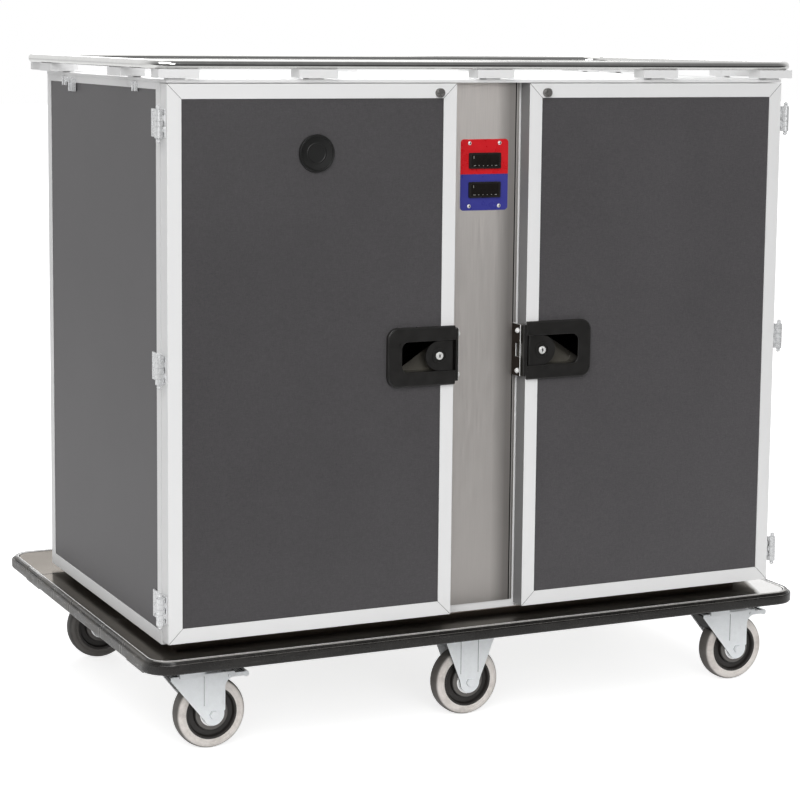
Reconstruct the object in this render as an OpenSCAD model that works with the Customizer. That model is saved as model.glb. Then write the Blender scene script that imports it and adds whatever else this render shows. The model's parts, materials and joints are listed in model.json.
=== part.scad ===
// Enclosed meal tray cart: a hot and a cold compartment on a base with six casters.
// Millimetres. X runs along the front, the doors face -Y, Z is up and the floor is Z = 0.

/* [Cabinet] */
// Width of the cabinet
body_w = 1500; // [1400:10:1600]
// Depth of the cabinet behind its doors
body_d = 811; // [760:1:860]
// Height of the cabinet with its roof sheet
body_h = 1192.5; // [1100:0.5:1250]
// Thickness of the insulated walls
wall_t = 45; // [42:1:50]
// Clear width between the two doors
column_gap = 179; // [170:1:200]
// Thickness of the roof sheet with its turned edge
roof_t = 7; // [5:0.5:10]
// Depth of the posts as the sides show them
post_d = 26; // [22:1:30]
// Height of the bottom rails on the sides
rail_low = 28.5; // [24:0.5:32]
// Number of tray levels in each compartment
tray_levels = 9; // [6:1:9]

/* [Doors] */
// Thickness of a door
door_t = 40; // [36:1:44]
// Width of the profiles that frame a door
door_band = 31.5; // [28:0.5:36]
// Depth of a door board below the front of its frame
panel_step = 2.5; // [1.5:0.5:4]
// Diameter of the hinge barrels
hinge_d = 16; // [14:0.5:16]
// Height of the hinge barrels
hinge_h = 58; // [50:1:66]
// Diameter of the hinge pins
pin_d = 8; // [6:0.5:9]
// Diameter of the vent cap
vent_d = 80; // [60:2:90]

/* [Latches] */
// Length of a latch housing along the door
latch_w = 162; // [150:2:180]
// Height of a latch housing
latch_h = 130; // [124:2:140]
// How far a latch stands out from its door
latch_proud = 9; // [6:0.5:10]
// Travel of a latch bolt
bolt_travel = 12; // [10:0.5:13]
// Diameter of the lock cores
core_d = 17; // [14:0.5:19]

/* [Base] */
// How far the base reaches past the sides of the cabinet
side_reach = 60; // [50:1:80]
// How far the base reaches in front of the cabinet
front_reach = 101; // [90:1:120]
// How far the base reaches behind the cabinet
rear_reach = 200; // [190:1:240]
// Height of the rubber bumper
bumper_h = 28; // [26:1:34]
// Thickness of the rubber bumper
bumper_t = 14.5; // [12:0.5:18]
// Outer radius of the bumper's corners
corner_r = 60; // [50:1:80]
// Height of the base tubes
tube_h = 42; // [38:1:50]
// Thickness of the deck sheets
deck_t = 3.5; // [2:0.5:5]
// Height of the plinth between deck and cabinet
plinth_h = 13.5; // [12:0.5:20]

/* [Casters] */
// Diameter of the wheels
wheel_d = 160; // [150:1:162]
// Width of the tyres
wheel_w = 42; // [36:1:46]
// Height of the casters, top plate included
caster_h = 198; // [198:1:210]
// Distance from a swivel's king pin to its axle
trail = 50.8; // [46:0.2:54]
// Distance of the king pins from the ends of the base
king_inset = 137.7; // [134:0.1:150]
// Distance of the wheel rows from the front and back of the base
row_inset = 164.5; // [150:0.5:180]
// Diameter of the axle bolts
axle_d = 12; // [10:0.5:14]

/* [Gallery rail] */
// Diameter of the rail tube
rail_d = 19.5; // [16:0.5:22]
// Distance of the rail's centre line from the sides of the cabinet
rail_out = 32; // [26:1:34]
// Distance of the rail's centre line from the front of the cabinet
rail_front = 44; // [42:1:48]
// Distance of the rail's centre line from the back of the cabinet
rail_back = 55; // [45:1:60]
// Radius of the rail's corners at its centre line
rail_r = 50; // [40:1:60]
// Height of the blocks under the rail
block_h = 18.25; // [14:0.25:22]

/* [Hidden] */
$fn = 64;

// Clearances
run = 0.05;      // radial, a part that turns on a pin
slip = 0.3;      // between neighbours that move past each other
joint = 0.1;     // all round a profile or board, so that neighbours stay separate
eps = 1;         // overrun of a cutting shape

// Base, from the floor up
base_w = body_w + 2 * side_reach;
base_d = body_d + front_reach + rear_reach;
deck_z = caster_h + tube_h + deck_t;
deck_gap = 3.5;
body_z = deck_z + plinth_h;
bumper_z = deck_z + 1.5 - bumper_h;

// Cabinet
front_y = -base_d / 2 + front_reach;
back_y = front_y + body_d;
top_z = body_z + body_h;
rail_top = top_z - roof_t;
half_w = body_w / 2;
face_rail = 43;
face_low_z = body_z + face_rail;
face_top_z = rail_top - 32.5;
room_in = column_gap / 2 + 16.5;
room_out = half_w - wall_t;
liner_t = 2;
floor_z = face_low_z + 2;
ceiling_z = face_top_z - 5;
room_back = back_y - wall_t - 1;
room_x = (room_in + room_out) / 2;

// Doors
door_gap = 4;
door_y = front_y - door_gap - door_t;
door_back = door_y + door_t;
door_in = column_gap / 2;
door_w = half_w - door_in;
door_z = body_z + 10;
door_top = rail_top - 1.5;
door_h = door_top - door_z;
board_t = 35;

// Hinges
hinge_x = half_w + 17;
hinge_y = door_y + 5;
hinge_zs = [door_z + 72, door_z + door_h * 0.4966, door_top - 82];
knuckles = 5;
knuckle_h = hinge_h / knuckles;
leaf_t = 2.5;

// Latches
latch_z = (door_z + door_top) / 2 - 4;
latch_x1 = door_in + latch_w;
recess_h = 67;
recess_x1 = latch_x1 - 33.5;
core_x = door_in + 38;
grip_r = recess_h / 2 - 0.8;
grip_y = door_y - 7;
grip_t = 11;
grip_pivot_x = door_in + 8;
tub_depth = 29;
bolt_z = 26;
bolt_d = 14;
bolt_y = door_y + 7;
striker_x = door_in - 12.5;
striker_t = 2;
bolt_tip = striker_x - 6.5 + bolt_travel;
stud_x = door_in + 42;
stud_z = door_top - 20;
stud_y_open = hinge_y + hinge_x - stud_x;

// Column and controls
cover_t = 3;
cover_half = 80;
column_y = front_y - cover_t;
plate_w = 117;
plate_t = 1.5;
plate_split = door_z + door_h * 0.83;
plate_up = 76.8;
plate_down = 79.7;
dial_w = 78;
dial_h = 35;
dial_z_hot = plate_split + 29.8;
dial_z_cold = plate_split - 34.2;

// Casters
king_x = base_w / 2 - king_inset;
row_y = base_d / 2 - row_inset;
axle_z = wheel_d / 2;
fork_in = 29.5;
fork_t = 3.5;
fork_out = fork_in + fork_t;
foot_r = 24;
crown_top = caster_h - 13.3;
crown_low = crown_top - 16.7;
crown_x = -47;
pedal_x = trail + 37.2;
pedal_z = axle_z + 83;
pedal_pin_d = 7;
plate_lx = 135;
plate_ly = 110;

// Gallery rail
rail_x = half_w + rail_out;
rail_y0 = front_y - rail_front;
rail_y1 = back_y + rail_back;
block_z = top_z + 3;
block_len = 89;
rail_z = block_z + block_h + rail_d / 2;

// Machinery
fan_z = ceiling_z - 240;
fan_d = 180;
duct_w = 400;
duct_d = 72;
duct_z0 = fan_z - 210;
duct_z1 = fan_z + 210;
unit_w = 690;
unit_d = 150;
unit_h = 470;

// ---- helpers ----

// Keeps a shape on the right, or mirrors it to the left.
module on_side(s) {
    if (s < 0) mirror([1, 0, 0]) children();
    else children();
}

// Box between two corners.
module span(a, b) {
    translate(a) cube([b[0] - a[0], b[1] - a[1], b[2] - a[2]]);
}

// Profile or board between two corners, less the joint gap.
module bar(a, b) {
    span([a[0] + joint, a[1] + joint, a[2] + joint], [b[0] - joint, b[1] - joint, b[2] - joint]);
}

// Cylinder along Y, from y0 to y1.
module rod_y(d, x, y0, y1, z) {
    translate([x, y0, z]) rotate([-90, 0, 0]) cylinder(d = d, h = y1 - y0);
}

// Cylinder along X, from x0 to x1.
module rod_x(d, x0, x1, y, z) {
    translate([x0, y, z]) rotate([0, 90, 0]) cylinder(d = d, h = x1 - x0);
}

// Rectangle with round corners, centred.
module round_rect(w, d, r) {
    square([w - 2 * r, d], center = true);
    square([w, d - 2 * r], center = true);
    for (x = [-1, 1], y = [-1, 1])
        translate([x * (w / 2 - r), y * (d / 2 - r)]) circle(r);
}

// Plate in the XZ plane: a 2D shape, its y pointing up, from y0 to y1.
module plate_xz(y0, y1) {
    translate([0, y1, 0]) rotate([90, 0, 0]) linear_extrude(y1 - y0) children();
}

// Sweeps a 2D shape round a rounded rectangle. The shape's x is the distance from the path.
module sweep_ring(w, d, r) {
    for (s = [-1, 1]) {
        translate([s * w / 2, d / 2 - r, 0]) rotate([90, 0, 0])
            linear_extrude(d - 2 * r) mirror([s < 0 ? 1 : 0, 0]) children();
        translate([-w / 2 + r, s * d / 2, 0]) rotate([90, 0, 90])
            linear_extrude(w - 2 * r) mirror([s < 0 ? 1 : 0, 0]) children();
    }
    for (i = [0:3]) {
        sx = (i == 0 || i == 3) ? 1 : -1;
        sy = i < 2 ? 1 : -1;
        translate([sx * (w / 2 - r), sy * (d / 2 - r), 0]) rotate([0, 0, 90 * i])
            rotate_extrude(angle = 90) translate([r, 0]) children();
    }
}

// ---- base ----

module base_frame() color([0.16, 0.16, 0.16]) {
    tube_w = 40;
    edge_t = 6;
    edge_x = base_w / 2 - bumper_t;
    edge_y = base_d / 2 - bumper_t;
    edge_h = 20;
    z0 = caster_h;
    z1 = caster_h + tube_h;
    for (s = [-1, 1]) {
        // tubes over the two rows of casters
        bar([-edge_x + edge_t, s * row_y - plate_ly / 2, z0],
             [edge_x - edge_t, s * row_y + plate_ly / 2, z1]);
        // flat bars that hold the bumper
        bar([-edge_x + corner_r, s * (edge_y - edge_t / 2) - edge_t / 2, z1 - edge_h],
             [edge_x - corner_r, s * (edge_y - edge_t / 2) + edge_t / 2, z1]);
        bar([s * (edge_x - edge_t / 2) - edge_t / 2, -edge_y + corner_r, z1 - edge_h],
             [s * (edge_x - edge_t / 2) + edge_t / 2, edge_y - corner_r, z1]);
    }
    for (x = [-king_x, -king_x / 2, 0, king_x / 2, king_x]) {
        // cross tubes between the rows, and their stubs out to the edge bars
        bar([x - tube_w / 2, -row_y + plate_ly / 2, z0],
             [x + tube_w / 2, row_y - plate_ly / 2, z1]);
        for (s = [-1, 1])
            bar([x - tube_w / 2, s > 0 ? row_y + plate_ly / 2 : -edge_y + edge_t, z1 - edge_h],
                 [x + tube_w / 2, s > 0 ? edge_y - edge_t : -row_y - plate_ly / 2, z1]);
    }
    // plinth, set back under the cabinet
    bar([-half_w + 38, front_y + 40, deck_z], [half_w - 38, back_y - 40, body_z]);
}

module deck_plate() color([0.63, 0.61, 0.59]) {
    seam_y = back_y - 58;
    seam = 2;
    w = base_w - 2 * bumper_t - 2 * deck_gap;
    d = base_d - 2 * bumper_t - 2 * deck_gap;
    r = corner_r - bumper_t;
    translate([0, 0, deck_z - deck_t]) linear_extrude(deck_t) difference() {
        round_rect(w, d, r);
        translate([-w, seam_y]) square([2 * w, seam]);
    }
}

// Section of the bumper: x from its inner face, y up.
module bumper_section() {
    t = bumper_t;
    h = bumper_h;
    intersection() {
        polygon([[0, 0], [t - 2, 0], [t, 3], [t, h - 9], [t - 1, h - 6.5],
            [t - 3, h - 6], [t - 4, h - 7.5], [t - 6, h - 7.5], [t - 7, h - 2],
            [t - 8.5, h], [0, h]]);
        square([t, h]);
    }
}

module bumper() color([0.13, 0.13, 0.12]) {
    translate([0, 0, bumper_z])
        sweep_ring(base_w - 2 * bumper_t, base_d - 2 * bumper_t, corner_r - bumper_t)
            bumper_section();
}

// ---- casters ----

// Places a caster: local origin on the floor under its king pin.
module at_caster(x, y) {
    translate([x, y, 0]) children();
}

// Top plate with its four bolts, local.
module caster_plate(raceway) {
    bolt_x = 52.5;
    bolt_y = 40;
    plate_z = caster_h - 6;
    translate([0, 0, plate_z]) difference() {
        linear_extrude(6) round_rect(plate_lx, plate_ly, 10);
        if (!raceway)
            for (x = [-bolt_x, bolt_x], y = [-bolt_y, bolt_y])
                translate([x, y, -eps]) cylinder(d = 10.2, h = 6 + 2 * eps);
    }
    if (raceway) {
        translate([0, 0, plate_z - 7]) cylinder(d = 90, h = 7);
        // king pin and its nut, which the crown turns on
        translate([0, 0, crown_low - 8.3]) cylinder(d = 12, h = plate_z - crown_low + 8.3);
        translate([0, 0, crown_low - 8.3]) cylinder(d = 22, h = 8, $fn = 6);
    }
    for (x = [-bolt_x, bolt_x], y = [-bolt_y, bolt_y])
        translate([x, y, plate_z - 6]) cylinder(d = 15, h = 6, $fn = 6);
}

module caster_plates() color([0.78, 0.8, 0.81]) {
    for (x = [-king_x, 0, king_x], y = [-row_y, row_y])
        translate([x, y, 0]) caster_plate(x != 0);
    for (s = [-1, 1]) at_caster(0, s * row_y) fixed_fork();
}

// Side view of a swivel fork leg, local: x from the king pin, y is the height.
module swivel_leg_shape(wing) {
    tangent = [0.72, 0.66];
    right = trail + foot_r + 3;
    top = crown_low + 4;
    translate([trail, axle_z]) circle(foot_r);
    polygon([[crown_x, top], [crown_x, top - 7],
        [trail - foot_r * tangent[0], axle_z - foot_r * tangent[1]], [trail, axle_z],
        [trail + foot_r * 0.9, axle_z + 2], [right, axle_z + 9], [right, top]]);
    // flare under the crown
    flare = wing ? 22 : 10;
    difference() {
        translate([right - 1, top - 34]) square([flare + 1, 34]);
        translate([right + flare, top - 34]) circle(flare);
        translate([right + 1, top - 34 - flare]) square([flare + eps, flare]);
    }
}

// Axle bolt with head and nut, along Y, local to its axle.
module axle_bolt(x) {
    rod_y(axle_d, x, -fork_out - 2, fork_out + 2, axle_z);
    for (s = [-1, 1]) {
        translate([x, s > 0 ? fork_out : -fork_out - 8, axle_z]) rotate([-90, 0, 0])
            cylinder(d = 19, h = 8, $fn = 6);
        // guard that covers the wheel bearing
        rod_y(52, x, s > 0 ? fork_in - 1.8 : -fork_in, s > 0 ? fork_in : -fork_in + 1.8, axle_z);
    }
}

// Swivel fork, local, with its crown, legs, neck and axle bolt.
module swivel_fork(wing) {
    top = crown_low + 4;
    neck_len = 50;
    neck_half = fork_in + 1;
    slope = atan2(top - 7 - (axle_z - foot_r * 0.66), trail - foot_r * 0.72 - crown_x);
    difference() {
        union() {
            translate([0, 0, crown_low]) cylinder(d = 86, h = crown_top - slip - crown_low);
            span([crown_x, -fork_out, crown_low], [trail + foot_r + 3, fork_out, top]);
            for (s = [-1, 1])
                plate_xz(s > 0 ? fork_in : -fork_out, s > 0 ? fork_out : -fork_in)
                    swivel_leg_shape(wing);
            // neck: the sheet that closes the upper part of the slanted edge
            translate([crown_x + 1, 0, top - 7]) rotate([0, slope, 0])
                translate([-2, -neck_half, 0.5]) cube([neck_len, 2 * neck_half, fork_t]);
            // pressed rib on the outside of each leg
            for (s = [-1, 1])
                translate([trail - 20, s * fork_out, axle_z + 22]) cylinder(d = 4, h = 66);
            axle_bolt(trail);
        }
        translate([0, 0, crown_low - eps])
            cylinder(d = 12 + 2 * run, h = crown_top - crown_low + 2 * eps);
        // room for the king pin's nut
        translate([0, 0, crown_low - 20]) cylinder(d = 24, h = 20 - slip / 3);
        if (wing)
            rod_y(pedal_pin_d + 2 * run, pedal_x, -fork_out - eps, fork_out + eps, pedal_z);
    }
}

module swivel_at(sx, sy) color([0.84, 0.86, 0.87])
    at_caster(sx * king_x, sy * row_y) swivel_fork(sy < 0);

module swivel_fork_front_left() swivel_at(-1, -1);
module swivel_fork_front_right() swivel_at(1, -1);
module swivel_fork_rear_left() swivel_at(-1, 1);
module swivel_fork_rear_right() swivel_at(1, 1);

// Fork of a fixed caster, local.
module fixed_fork() {
    top = caster_h - 6 - joint;
    half_top = 61;
    for (s = [-1, 1]) {
        plate_xz(s > 0 ? fork_in : -fork_out, s > 0 ? fork_out : -fork_in) {
            translate([0, axle_z]) circle(foot_r);
            polygon([[-foot_r, axle_z], [-foot_r - 2, axle_z + 8], [-half_top, top - 14],
                [-half_top, top], [half_top, top], [half_top, top - 14],
                [foot_r + 2, axle_z + 8], [foot_r, axle_z]]);
        }
        translate([-22, s * fork_out, axle_z + 22]) cylinder(d = 4, h = top - axle_z - 26);
        translate([22, s * fork_out, axle_z + 22]) cylinder(d = 4, h = top - axle_z - 26);
    }
    span([-half_top, -fork_out, top - 4], [half_top, fork_out, top]);
    axle_bolt(0);
}

// Pedal of a swivel brake, local to its caster: tread, arms and pin.
module brake_pedal(sx) color([0.8, 0.82, 0.83]) at_caster(sx * king_x, -row_y) {
    arm_y = fork_in - 1;
    end_x = trail + 84;
    rod_y(pedal_pin_d, pedal_x, -fork_out - 2, fork_out + 2, pedal_z);
    difference() {
        union() {
            rod_y(13, pedal_x, -arm_y, arm_y, pedal_z);
            span([pedal_x, -arm_y, pedal_z - 5], [end_x - 7, arm_y, pedal_z + 4]);
            rod_y(13, end_x - 6.5, -arm_y, arm_y, pedal_z - 1);
        }
        // dished tread
        span([pedal_x + 14, -arm_y + 4, pedal_z + 1], [end_x - 10, arm_y - 4, pedal_z + 10]);
    }
    // ribs on the tread
    for (i = [0:3])
        rod_y(2.4, pedal_x + 17 + 5 * i, -arm_y + 4, arm_y - 4, pedal_z + 1);
}

module brake_pedal_left() brake_pedal(-1);
module brake_pedal_right() brake_pedal(1);

tyre_in_r = wheel_d / 2 - 22;

// Places a wheel's axle along Y. Column -1, 0 or 1; row -1 in front, 1 behind.
module at_axle(column, row) {
    x = column == 0 ? 0 : column * king_x + trail;
    translate([x, row * row_y, axle_z]) rotate([-90, 0, 0]) children();
}

module tyre(column, row) color([0.7, 0.69, 0.67]) at_axle(column, row)
    rotate_extrude($fn = 96) difference() {
        shoulder = 9;
        union() {
            translate([tyre_in_r, -wheel_w / 2]) square([22 - shoulder, wheel_w]);
            translate([tyre_in_r, -wheel_w / 2 + shoulder])
                square([22, wheel_w - 2 * shoulder]);
            for (s = [-1, 1])
                translate([wheel_d / 2 - shoulder, s * (wheel_w / 2 - shoulder)])
                    circle(shoulder);
        }
        // line where the tread meets the core
        for (s = [-1, 1])
            translate([tyre_in_r + 7, s * wheel_w / 2]) circle(1.2, $fn = 24);
    }

module hub(column, row) color([0.2, 0.2, 0.2]) at_axle(column, row)
    difference() {
        rotate_extrude($fn = 96) {
            rim_half = wheel_w / 2 - 1.5;
            bore_r = axle_d / 2 + run;
            polygon([[bore_r, -fork_in + 2.1], [22, -fork_in + 2.1], [24, -24],
                [36, -rim_half - 1], [38, -rim_half], [40, -12], [51, -12],
                [53, -rim_half], [tyre_in_r, -rim_half],
                [tyre_in_r, rim_half], [53, rim_half], [51, 12], [40, 12],
                [38, rim_half], [36, rim_half + 1], [24, 24], [22, fork_in - 2.1],
                [bore_r, fork_in - 2.1]]);
        }
        // pockets between the spokes
        for (i = [0:7])
            rotate([0, 0, i * 45 + 22.5]) translate([45.5, 0, -20]) cylinder(d = 8, h = 40);
    }

module tyre_front_left() tyre(-1, -1);
module tyre_front_middle() tyre(0, -1);
module tyre_front_right() tyre(1, -1);
module tyre_rear_left() tyre(-1, 1);
module tyre_rear_middle() tyre(0, 1);
module tyre_rear_right() tyre(1, 1);
module hub_front_left() hub(-1, -1);
module hub_front_middle() hub(0, -1);
module hub_front_right() hub(1, -1);
module hub_rear_left() hub(-1, 1);
module hub_rear_middle() hub(0, 1);
module hub_rear_right() hub(1, 1);

// ---- cabinet ----

module cabinet_frame() color([0.8, 0.8, 0.8]) {
    rail_high = 15;
    for (s = [-1, 1]) on_side(s) {
        // corner posts
        bar([room_out, front_y, body_z], [half_w, front_y + post_d, rail_top]);
        bar([room_out, back_y - post_d, body_z], [half_w, back_y, rail_top]);
        // side rails
        bar([room_out, front_y + post_d, body_z],
             [half_w, back_y - post_d, body_z + rail_low]);
        bar([room_out, front_y + post_d, rail_top - rail_high],
             [half_w, back_y - post_d, rail_top]);
        // posts beside the column
        bar([door_in - 27.5, front_y, face_low_z],
             [room_in - 2, front_y + post_d, face_top_z]);
    }
    // front and back rails
    for (z = [[body_z, face_low_z], [face_top_z, rail_top]])
        bar([-room_out, front_y, z[0]], [room_out, front_y + post_d, z[1]]);
    for (z = [[body_z, body_z + rail_low], [rail_top - rail_high, rail_top]])
        bar([-room_out, back_y - post_d, z[0]], [room_out, back_y, z[1]]);
}

module wall_panels() color([0.42, 0.42, 0.42]) {
    recess = 1.5;
    low = body_z + rail_low;
    high = rail_top - 15;
    y0 = front_y + post_d;
    y1 = back_y - post_d;
    for (s = [-1, 1]) on_side(s) {
        bar([room_out, y0, low], [half_w - recess, y1, high]);
        // board beside the column
        bar([door_in - 27.5, y0, face_low_z], [room_in - 2, room_back + 2, ceiling_z + 2]);
    }
    // back board
    bar([-room_out, room_back + 2, low], [room_out, y1, high]);
    bar([-room_out, y1, low], [room_out, back_y - recess, high]);
    // floor and ceiling boards
    bar([-room_out, y0, body_z + 2], [room_out, room_back + 2, face_low_z]);
    bar([-room_out, y0, ceiling_z + 2], [room_out, room_back + 2, top_z - 1.5]);
}

module roof_panel() color([0.86, 0.86, 0.86]) {
    sheet = 1.5;
    field_t = 1.2;
    y0 = door_y + 2;
    difference() {
        span([-half_w, y0, rail_top], [half_w, back_y + 2, top_z]);
        span([-room_out - eps / 2, front_y + post_d - eps / 2, rail_top - eps],
             [room_out + eps / 2, room_back + 2 + eps / 2, top_z - sheet]);
    }
    // raised field inside the gallery rail, where things are put down
    span([-half_w + 50, front_y + 15, top_z - sheet], [half_w - 50, back_y - 50, top_z + field_t]);
}

// Liner of one compartment: five walls, open to the front.
module liner(s) on_side(s) {
    difference() {
        span([room_in - 2, front_y, floor_z - liner_t],
             [room_out, room_back + liner_t, ceiling_z + liner_t]);
        span([room_in, front_y - eps, floor_z], [room_out - 2, room_back, ceiling_z]);
    }
}

module liners() color([0.75, 0.76, 0.77]) {
    liner(-1);
    liner(1);
}

// Rack of tray runners on one wall: two uprights and the runners, each welded on.
module tray_rack(x_wall, inward) {
    upright = 20;
    ledge = 38;
    y0 = front_y + 60;
    y1 = room_back - duct_d - 30;
    z0 = floor_z;
    z1 = ceiling_z - 40;
    pitch = (z1 - z0 - 60) / tray_levels;
    translate([x_wall, 0, 0]) mirror([inward < 0 ? 1 : 0, 0, 0]) {
        for (y = [y0 + 40, y1 - 40 - upright])
            bar([0, y, z0], [8, y + upright, z1]);
        for (i = [1:tray_levels])
            translate([0, 0, z0 + i * pitch]) difference() {
                span([8 + joint, y0, 0], [ledge, y1, 8]);
                span([10, y0 - eps, 1.5], [ledge - 1.5, y1 + eps, 8 + eps]);
            }
    }
}

module tray_racks() color([0.72, 0.73, 0.74]) {
    for (s = [-1, 1]) on_side(s) {
        tray_rack(room_in, 1);
        tray_rack(room_out - 2, -1);
    }
}

module door_gaskets() color([0.25, 0.25, 0.25]) {
    width = 10;
    for (s = [-1, 1]) on_side(s) difference() {
        span([room_in - 14, front_y - door_gap + slip, floor_z - 14],
             [room_out + 10, front_y, ceiling_z + 14]);
        span([room_in - 14 + width, front_y - door_gap - eps, floor_z - 14 + width],
             [room_out + 10 - width, front_y + eps, ceiling_z + 14 - width]);
    }
}

// ---- machinery ----

// Slotted cover over a fan, with the fan's motor behind it.
module duct_cover(s) on_side(s) translate([room_x, room_back, 0]) {
    sheet = 1.5;
    slots = 7;
    difference() {
        span([-duct_w / 2, -duct_d, duct_z0], [duct_w / 2, 0, duct_z1]);
        span([-duct_w / 2 + sheet, -duct_d + sheet, duct_z0 + sheet],
             [duct_w / 2 - sheet, eps, duct_z1 - sheet]);
        // air slots: intake rows in front of the fan, outlets above and below
        for (i = [0:slots - 1]) {
            z = fan_z - 78 + i * 26;
            half = sqrt(pow(86, 2) - pow(z - fan_z, 2));
            span([-half, -duct_d - eps, z - 4], [half, -duct_d + sheet + eps, z + 4]);
        }
        for (z = [duct_z0 + 30, duct_z0 + 50, duct_z1 - 50, duct_z1 - 30])
            span([-150, -duct_d - eps, z - 4], [150, -duct_d + sheet + eps, z + 4]);
    }
    difference() {
        rod_y(96, 0, -24, 0, fan_z);
        rod_y(10 + 2 * run, 0, -24 - eps, -4, fan_z);
    }
}

module duct_covers() color([0.76, 0.77, 0.78]) {
    duct_cover(-1);
    duct_cover(1);
}

// Fan rotor: hub, back disc, blades and shaft.
module fan(s) on_side(s) translate([room_x, room_back, fan_z]) {
    blades = 8;
    rod_y(10, 0, -30, -6, 0);
    rod_y(48, 0, -62, -28, 0);
    rod_y(fan_d, 0, -30, -28, 0);
    for (i = [0:blades - 1])
        rotate([0, i * 360 / blades, 0])
            span([22, -62, -1.2], [fan_d / 2 - 2, -30, 1.2]);
}

module fan_hot() color([0.6, 0.61, 0.62]) fan(-1);
module fan_cold() color([0.2, 0.2, 0.2]) fan(1);

// Ring heater round the hot side's fan.
module heating_element() color([0.5, 0.47, 0.44]) {
    translate([-room_x, room_back, fan_z]) {
        for (y = [-44, -26])
            translate([0, y, 0]) rotate([90, 0, 0])
                rotate_extrude($fn = 96) translate([118, 0]) circle(d = 8, $fn = 32);
        for (a = [30, 150, 270])
            rotate([0, a, 0]) span([112, -50, -3], [124, 0, 3]);
    }
}

// Evaporator behind the cold side's cover; compressor and condenser behind the cabinet.
module cooling_unit() color([0.66, 0.67, 0.68]) {
    fins = 22;
    fin_gap = 12;
    translate([room_x, room_back, duct_z0 + 70]) {
        for (i = [0:fins - 1])
            span([-fins * fin_gap / 2 + i * fin_gap, -56, -30],
                 [-fins * fin_gap / 2 + i * fin_gap + 1, 0, 30]);
        for (y = [-44, -20], z = [-18, 0, 18])
            rod_x(9, -fins * fin_gap / 2 - 8, fins * fin_gap / 2 + 8, y, z);
    }
    // compressor: a round can with a domed top on two feet
    translate([-190, back_y + unit_d / 2 - 2, deck_z]) {
        span([-80, -50, 0], [80, 50, 6]);
        translate([0, 0, 6]) cylinder(d = 110, h = 130);
        translate([0, 0, 136]) intersection() {
            translate([0, 0, -90]) sphere(r = 105.5);
            cylinder(d = 110, h = 40);
        }
    }
    // condenser
    translate([130, back_y + unit_d / 2, deck_z + 110]) {
        for (i = [0:fins - 1])
            span([-fins * fin_gap / 2 + i * fin_gap, -30, -110],
                 [-fins * fin_gap / 2 + i * fin_gap + 1, 30, 110]);
        for (y = [-15, 15], z = [-80:40:80])
            rod_x(9, -fins * fin_gap / 2 - 8, fins * fin_gap / 2 + 8, y, z);
    }
}

// Louvred housing behind the cabinet, open towards it, with a mains inlet.
module rear_unit_cover() color([0.74, 0.75, 0.76]) {
    sheet = 1.5;
    slots = 12;
    inlet = 52;
    inlet_x = 250;
    inlet_z = deck_z + 400;
    y1 = back_y + unit_d;
    translate([0, 0, deck_z]) difference() {
        span([-unit_w / 2, back_y, 0], [unit_w / 2, y1, unit_h]);
        span([-unit_w / 2 + sheet, back_y - eps, -eps],
             [unit_w / 2 - sheet, y1 - sheet, unit_h - sheet]);
        for (x = [-170, 170], i = [0:slots - 1])
            span([x - 110, y1 - sheet - eps, 50 + i * 20], [x + 110, y1 + eps, 56 + i * 20]);
        span([inlet_x - inlet / 2, y1 - sheet - eps, 400 - inlet / 2],
             [inlet_x + inlet / 2, y1 + eps, 400 + inlet / 2]);
    }
    // hoods over the louvres
    for (x = [-170, 170], i = [0:slots - 1])
        translate([x - 110, y1, deck_z + 56 + i * 20]) rotate([90, 0, 90])
            linear_extrude(220) polygon([[0, 0], [0, 4], [5, -3], [4, -4]]);
    // mains inlet: a round-cornered tub with three pins
    difference() {
        plate_xz(y1 - 30, y1 + 3) translate([inlet_x, inlet_z]) round_rect(inlet + 8, inlet + 8, 6);
        plate_xz(y1 - 26, y1 + 3 + eps) translate([inlet_x, inlet_z]) round_rect(inlet - 10, inlet - 10, 6);
        span([inlet_x - inlet, y1 - 31, inlet_z - inlet], [inlet_x - inlet / 2, y1, inlet_z + inlet]);
        span([inlet_x + inlet / 2, y1 - 31, inlet_z - inlet], [inlet_x + inlet, y1, inlet_z + inlet]);
        span([inlet_x - inlet, y1 - 31, inlet_z - inlet], [inlet_x + inlet, y1, inlet_z - inlet / 2]);
        span([inlet_x - inlet, y1 - 31, inlet_z + inlet / 2], [inlet_x + inlet, y1, inlet_z + inlet]);
    }
    for (a = [90, 210, 330])
        rod_y(5, inlet_x + 10 * cos(a), y1 - 27, y1 - 8, inlet_z + 10 * sin(a));
}

// ---- column ----

module thermostat_holes(y0, y1) {
    for (z = [dial_z_hot, dial_z_cold])
        span([-36, y0, z - 15], [36, y1, z + 15]);
    for (x = [-37, 37], z = [plate_split + 68.3, plate_split - 70.2])
        rod_y(4 + 2 * run, x, y0, y1, z);
}

module column_cover() color([0.6, 0.57, 0.55]) {
    side_half = door_in - 3.5;
    z0 = body_z + 18;
    difference() {
        union() {
            span([-cover_half, column_y, z0], [cover_half, front_y, rail_top]);
            span([-side_half, front_y - 1.5, z0], [side_half, front_y, rail_top]);
        }
        thermostat_holes(column_y - eps, front_y + eps);
    }
}

// Control plate, a half with two round corners. up is 1 for the upper plate.
module control_plate(up) {
    r = 8;
    z0 = up > 0 ? plate_split + 0.15 : plate_split - plate_down;
    z1 = up > 0 ? plate_split + plate_up : plate_split - 0.15;
    difference() {
        plate_xz(column_y - plate_t, column_y) {
            // square where the plates meet, round at the far corners
            translate([-plate_w / 2, up > 0 ? z0 : z0 + r]) square([plate_w, z1 - z0 - r]);
            translate([-plate_w / 2 + r, z0]) square([plate_w - 2 * r, z1 - z0]);
            for (x = [-1, 1])
                translate([x * (plate_w / 2 - r), up > 0 ? z1 - r : z0 + r]) circle(r);
        }
        thermostat_holes(column_y - plate_t - eps, column_y + eps);
    }
}

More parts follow.
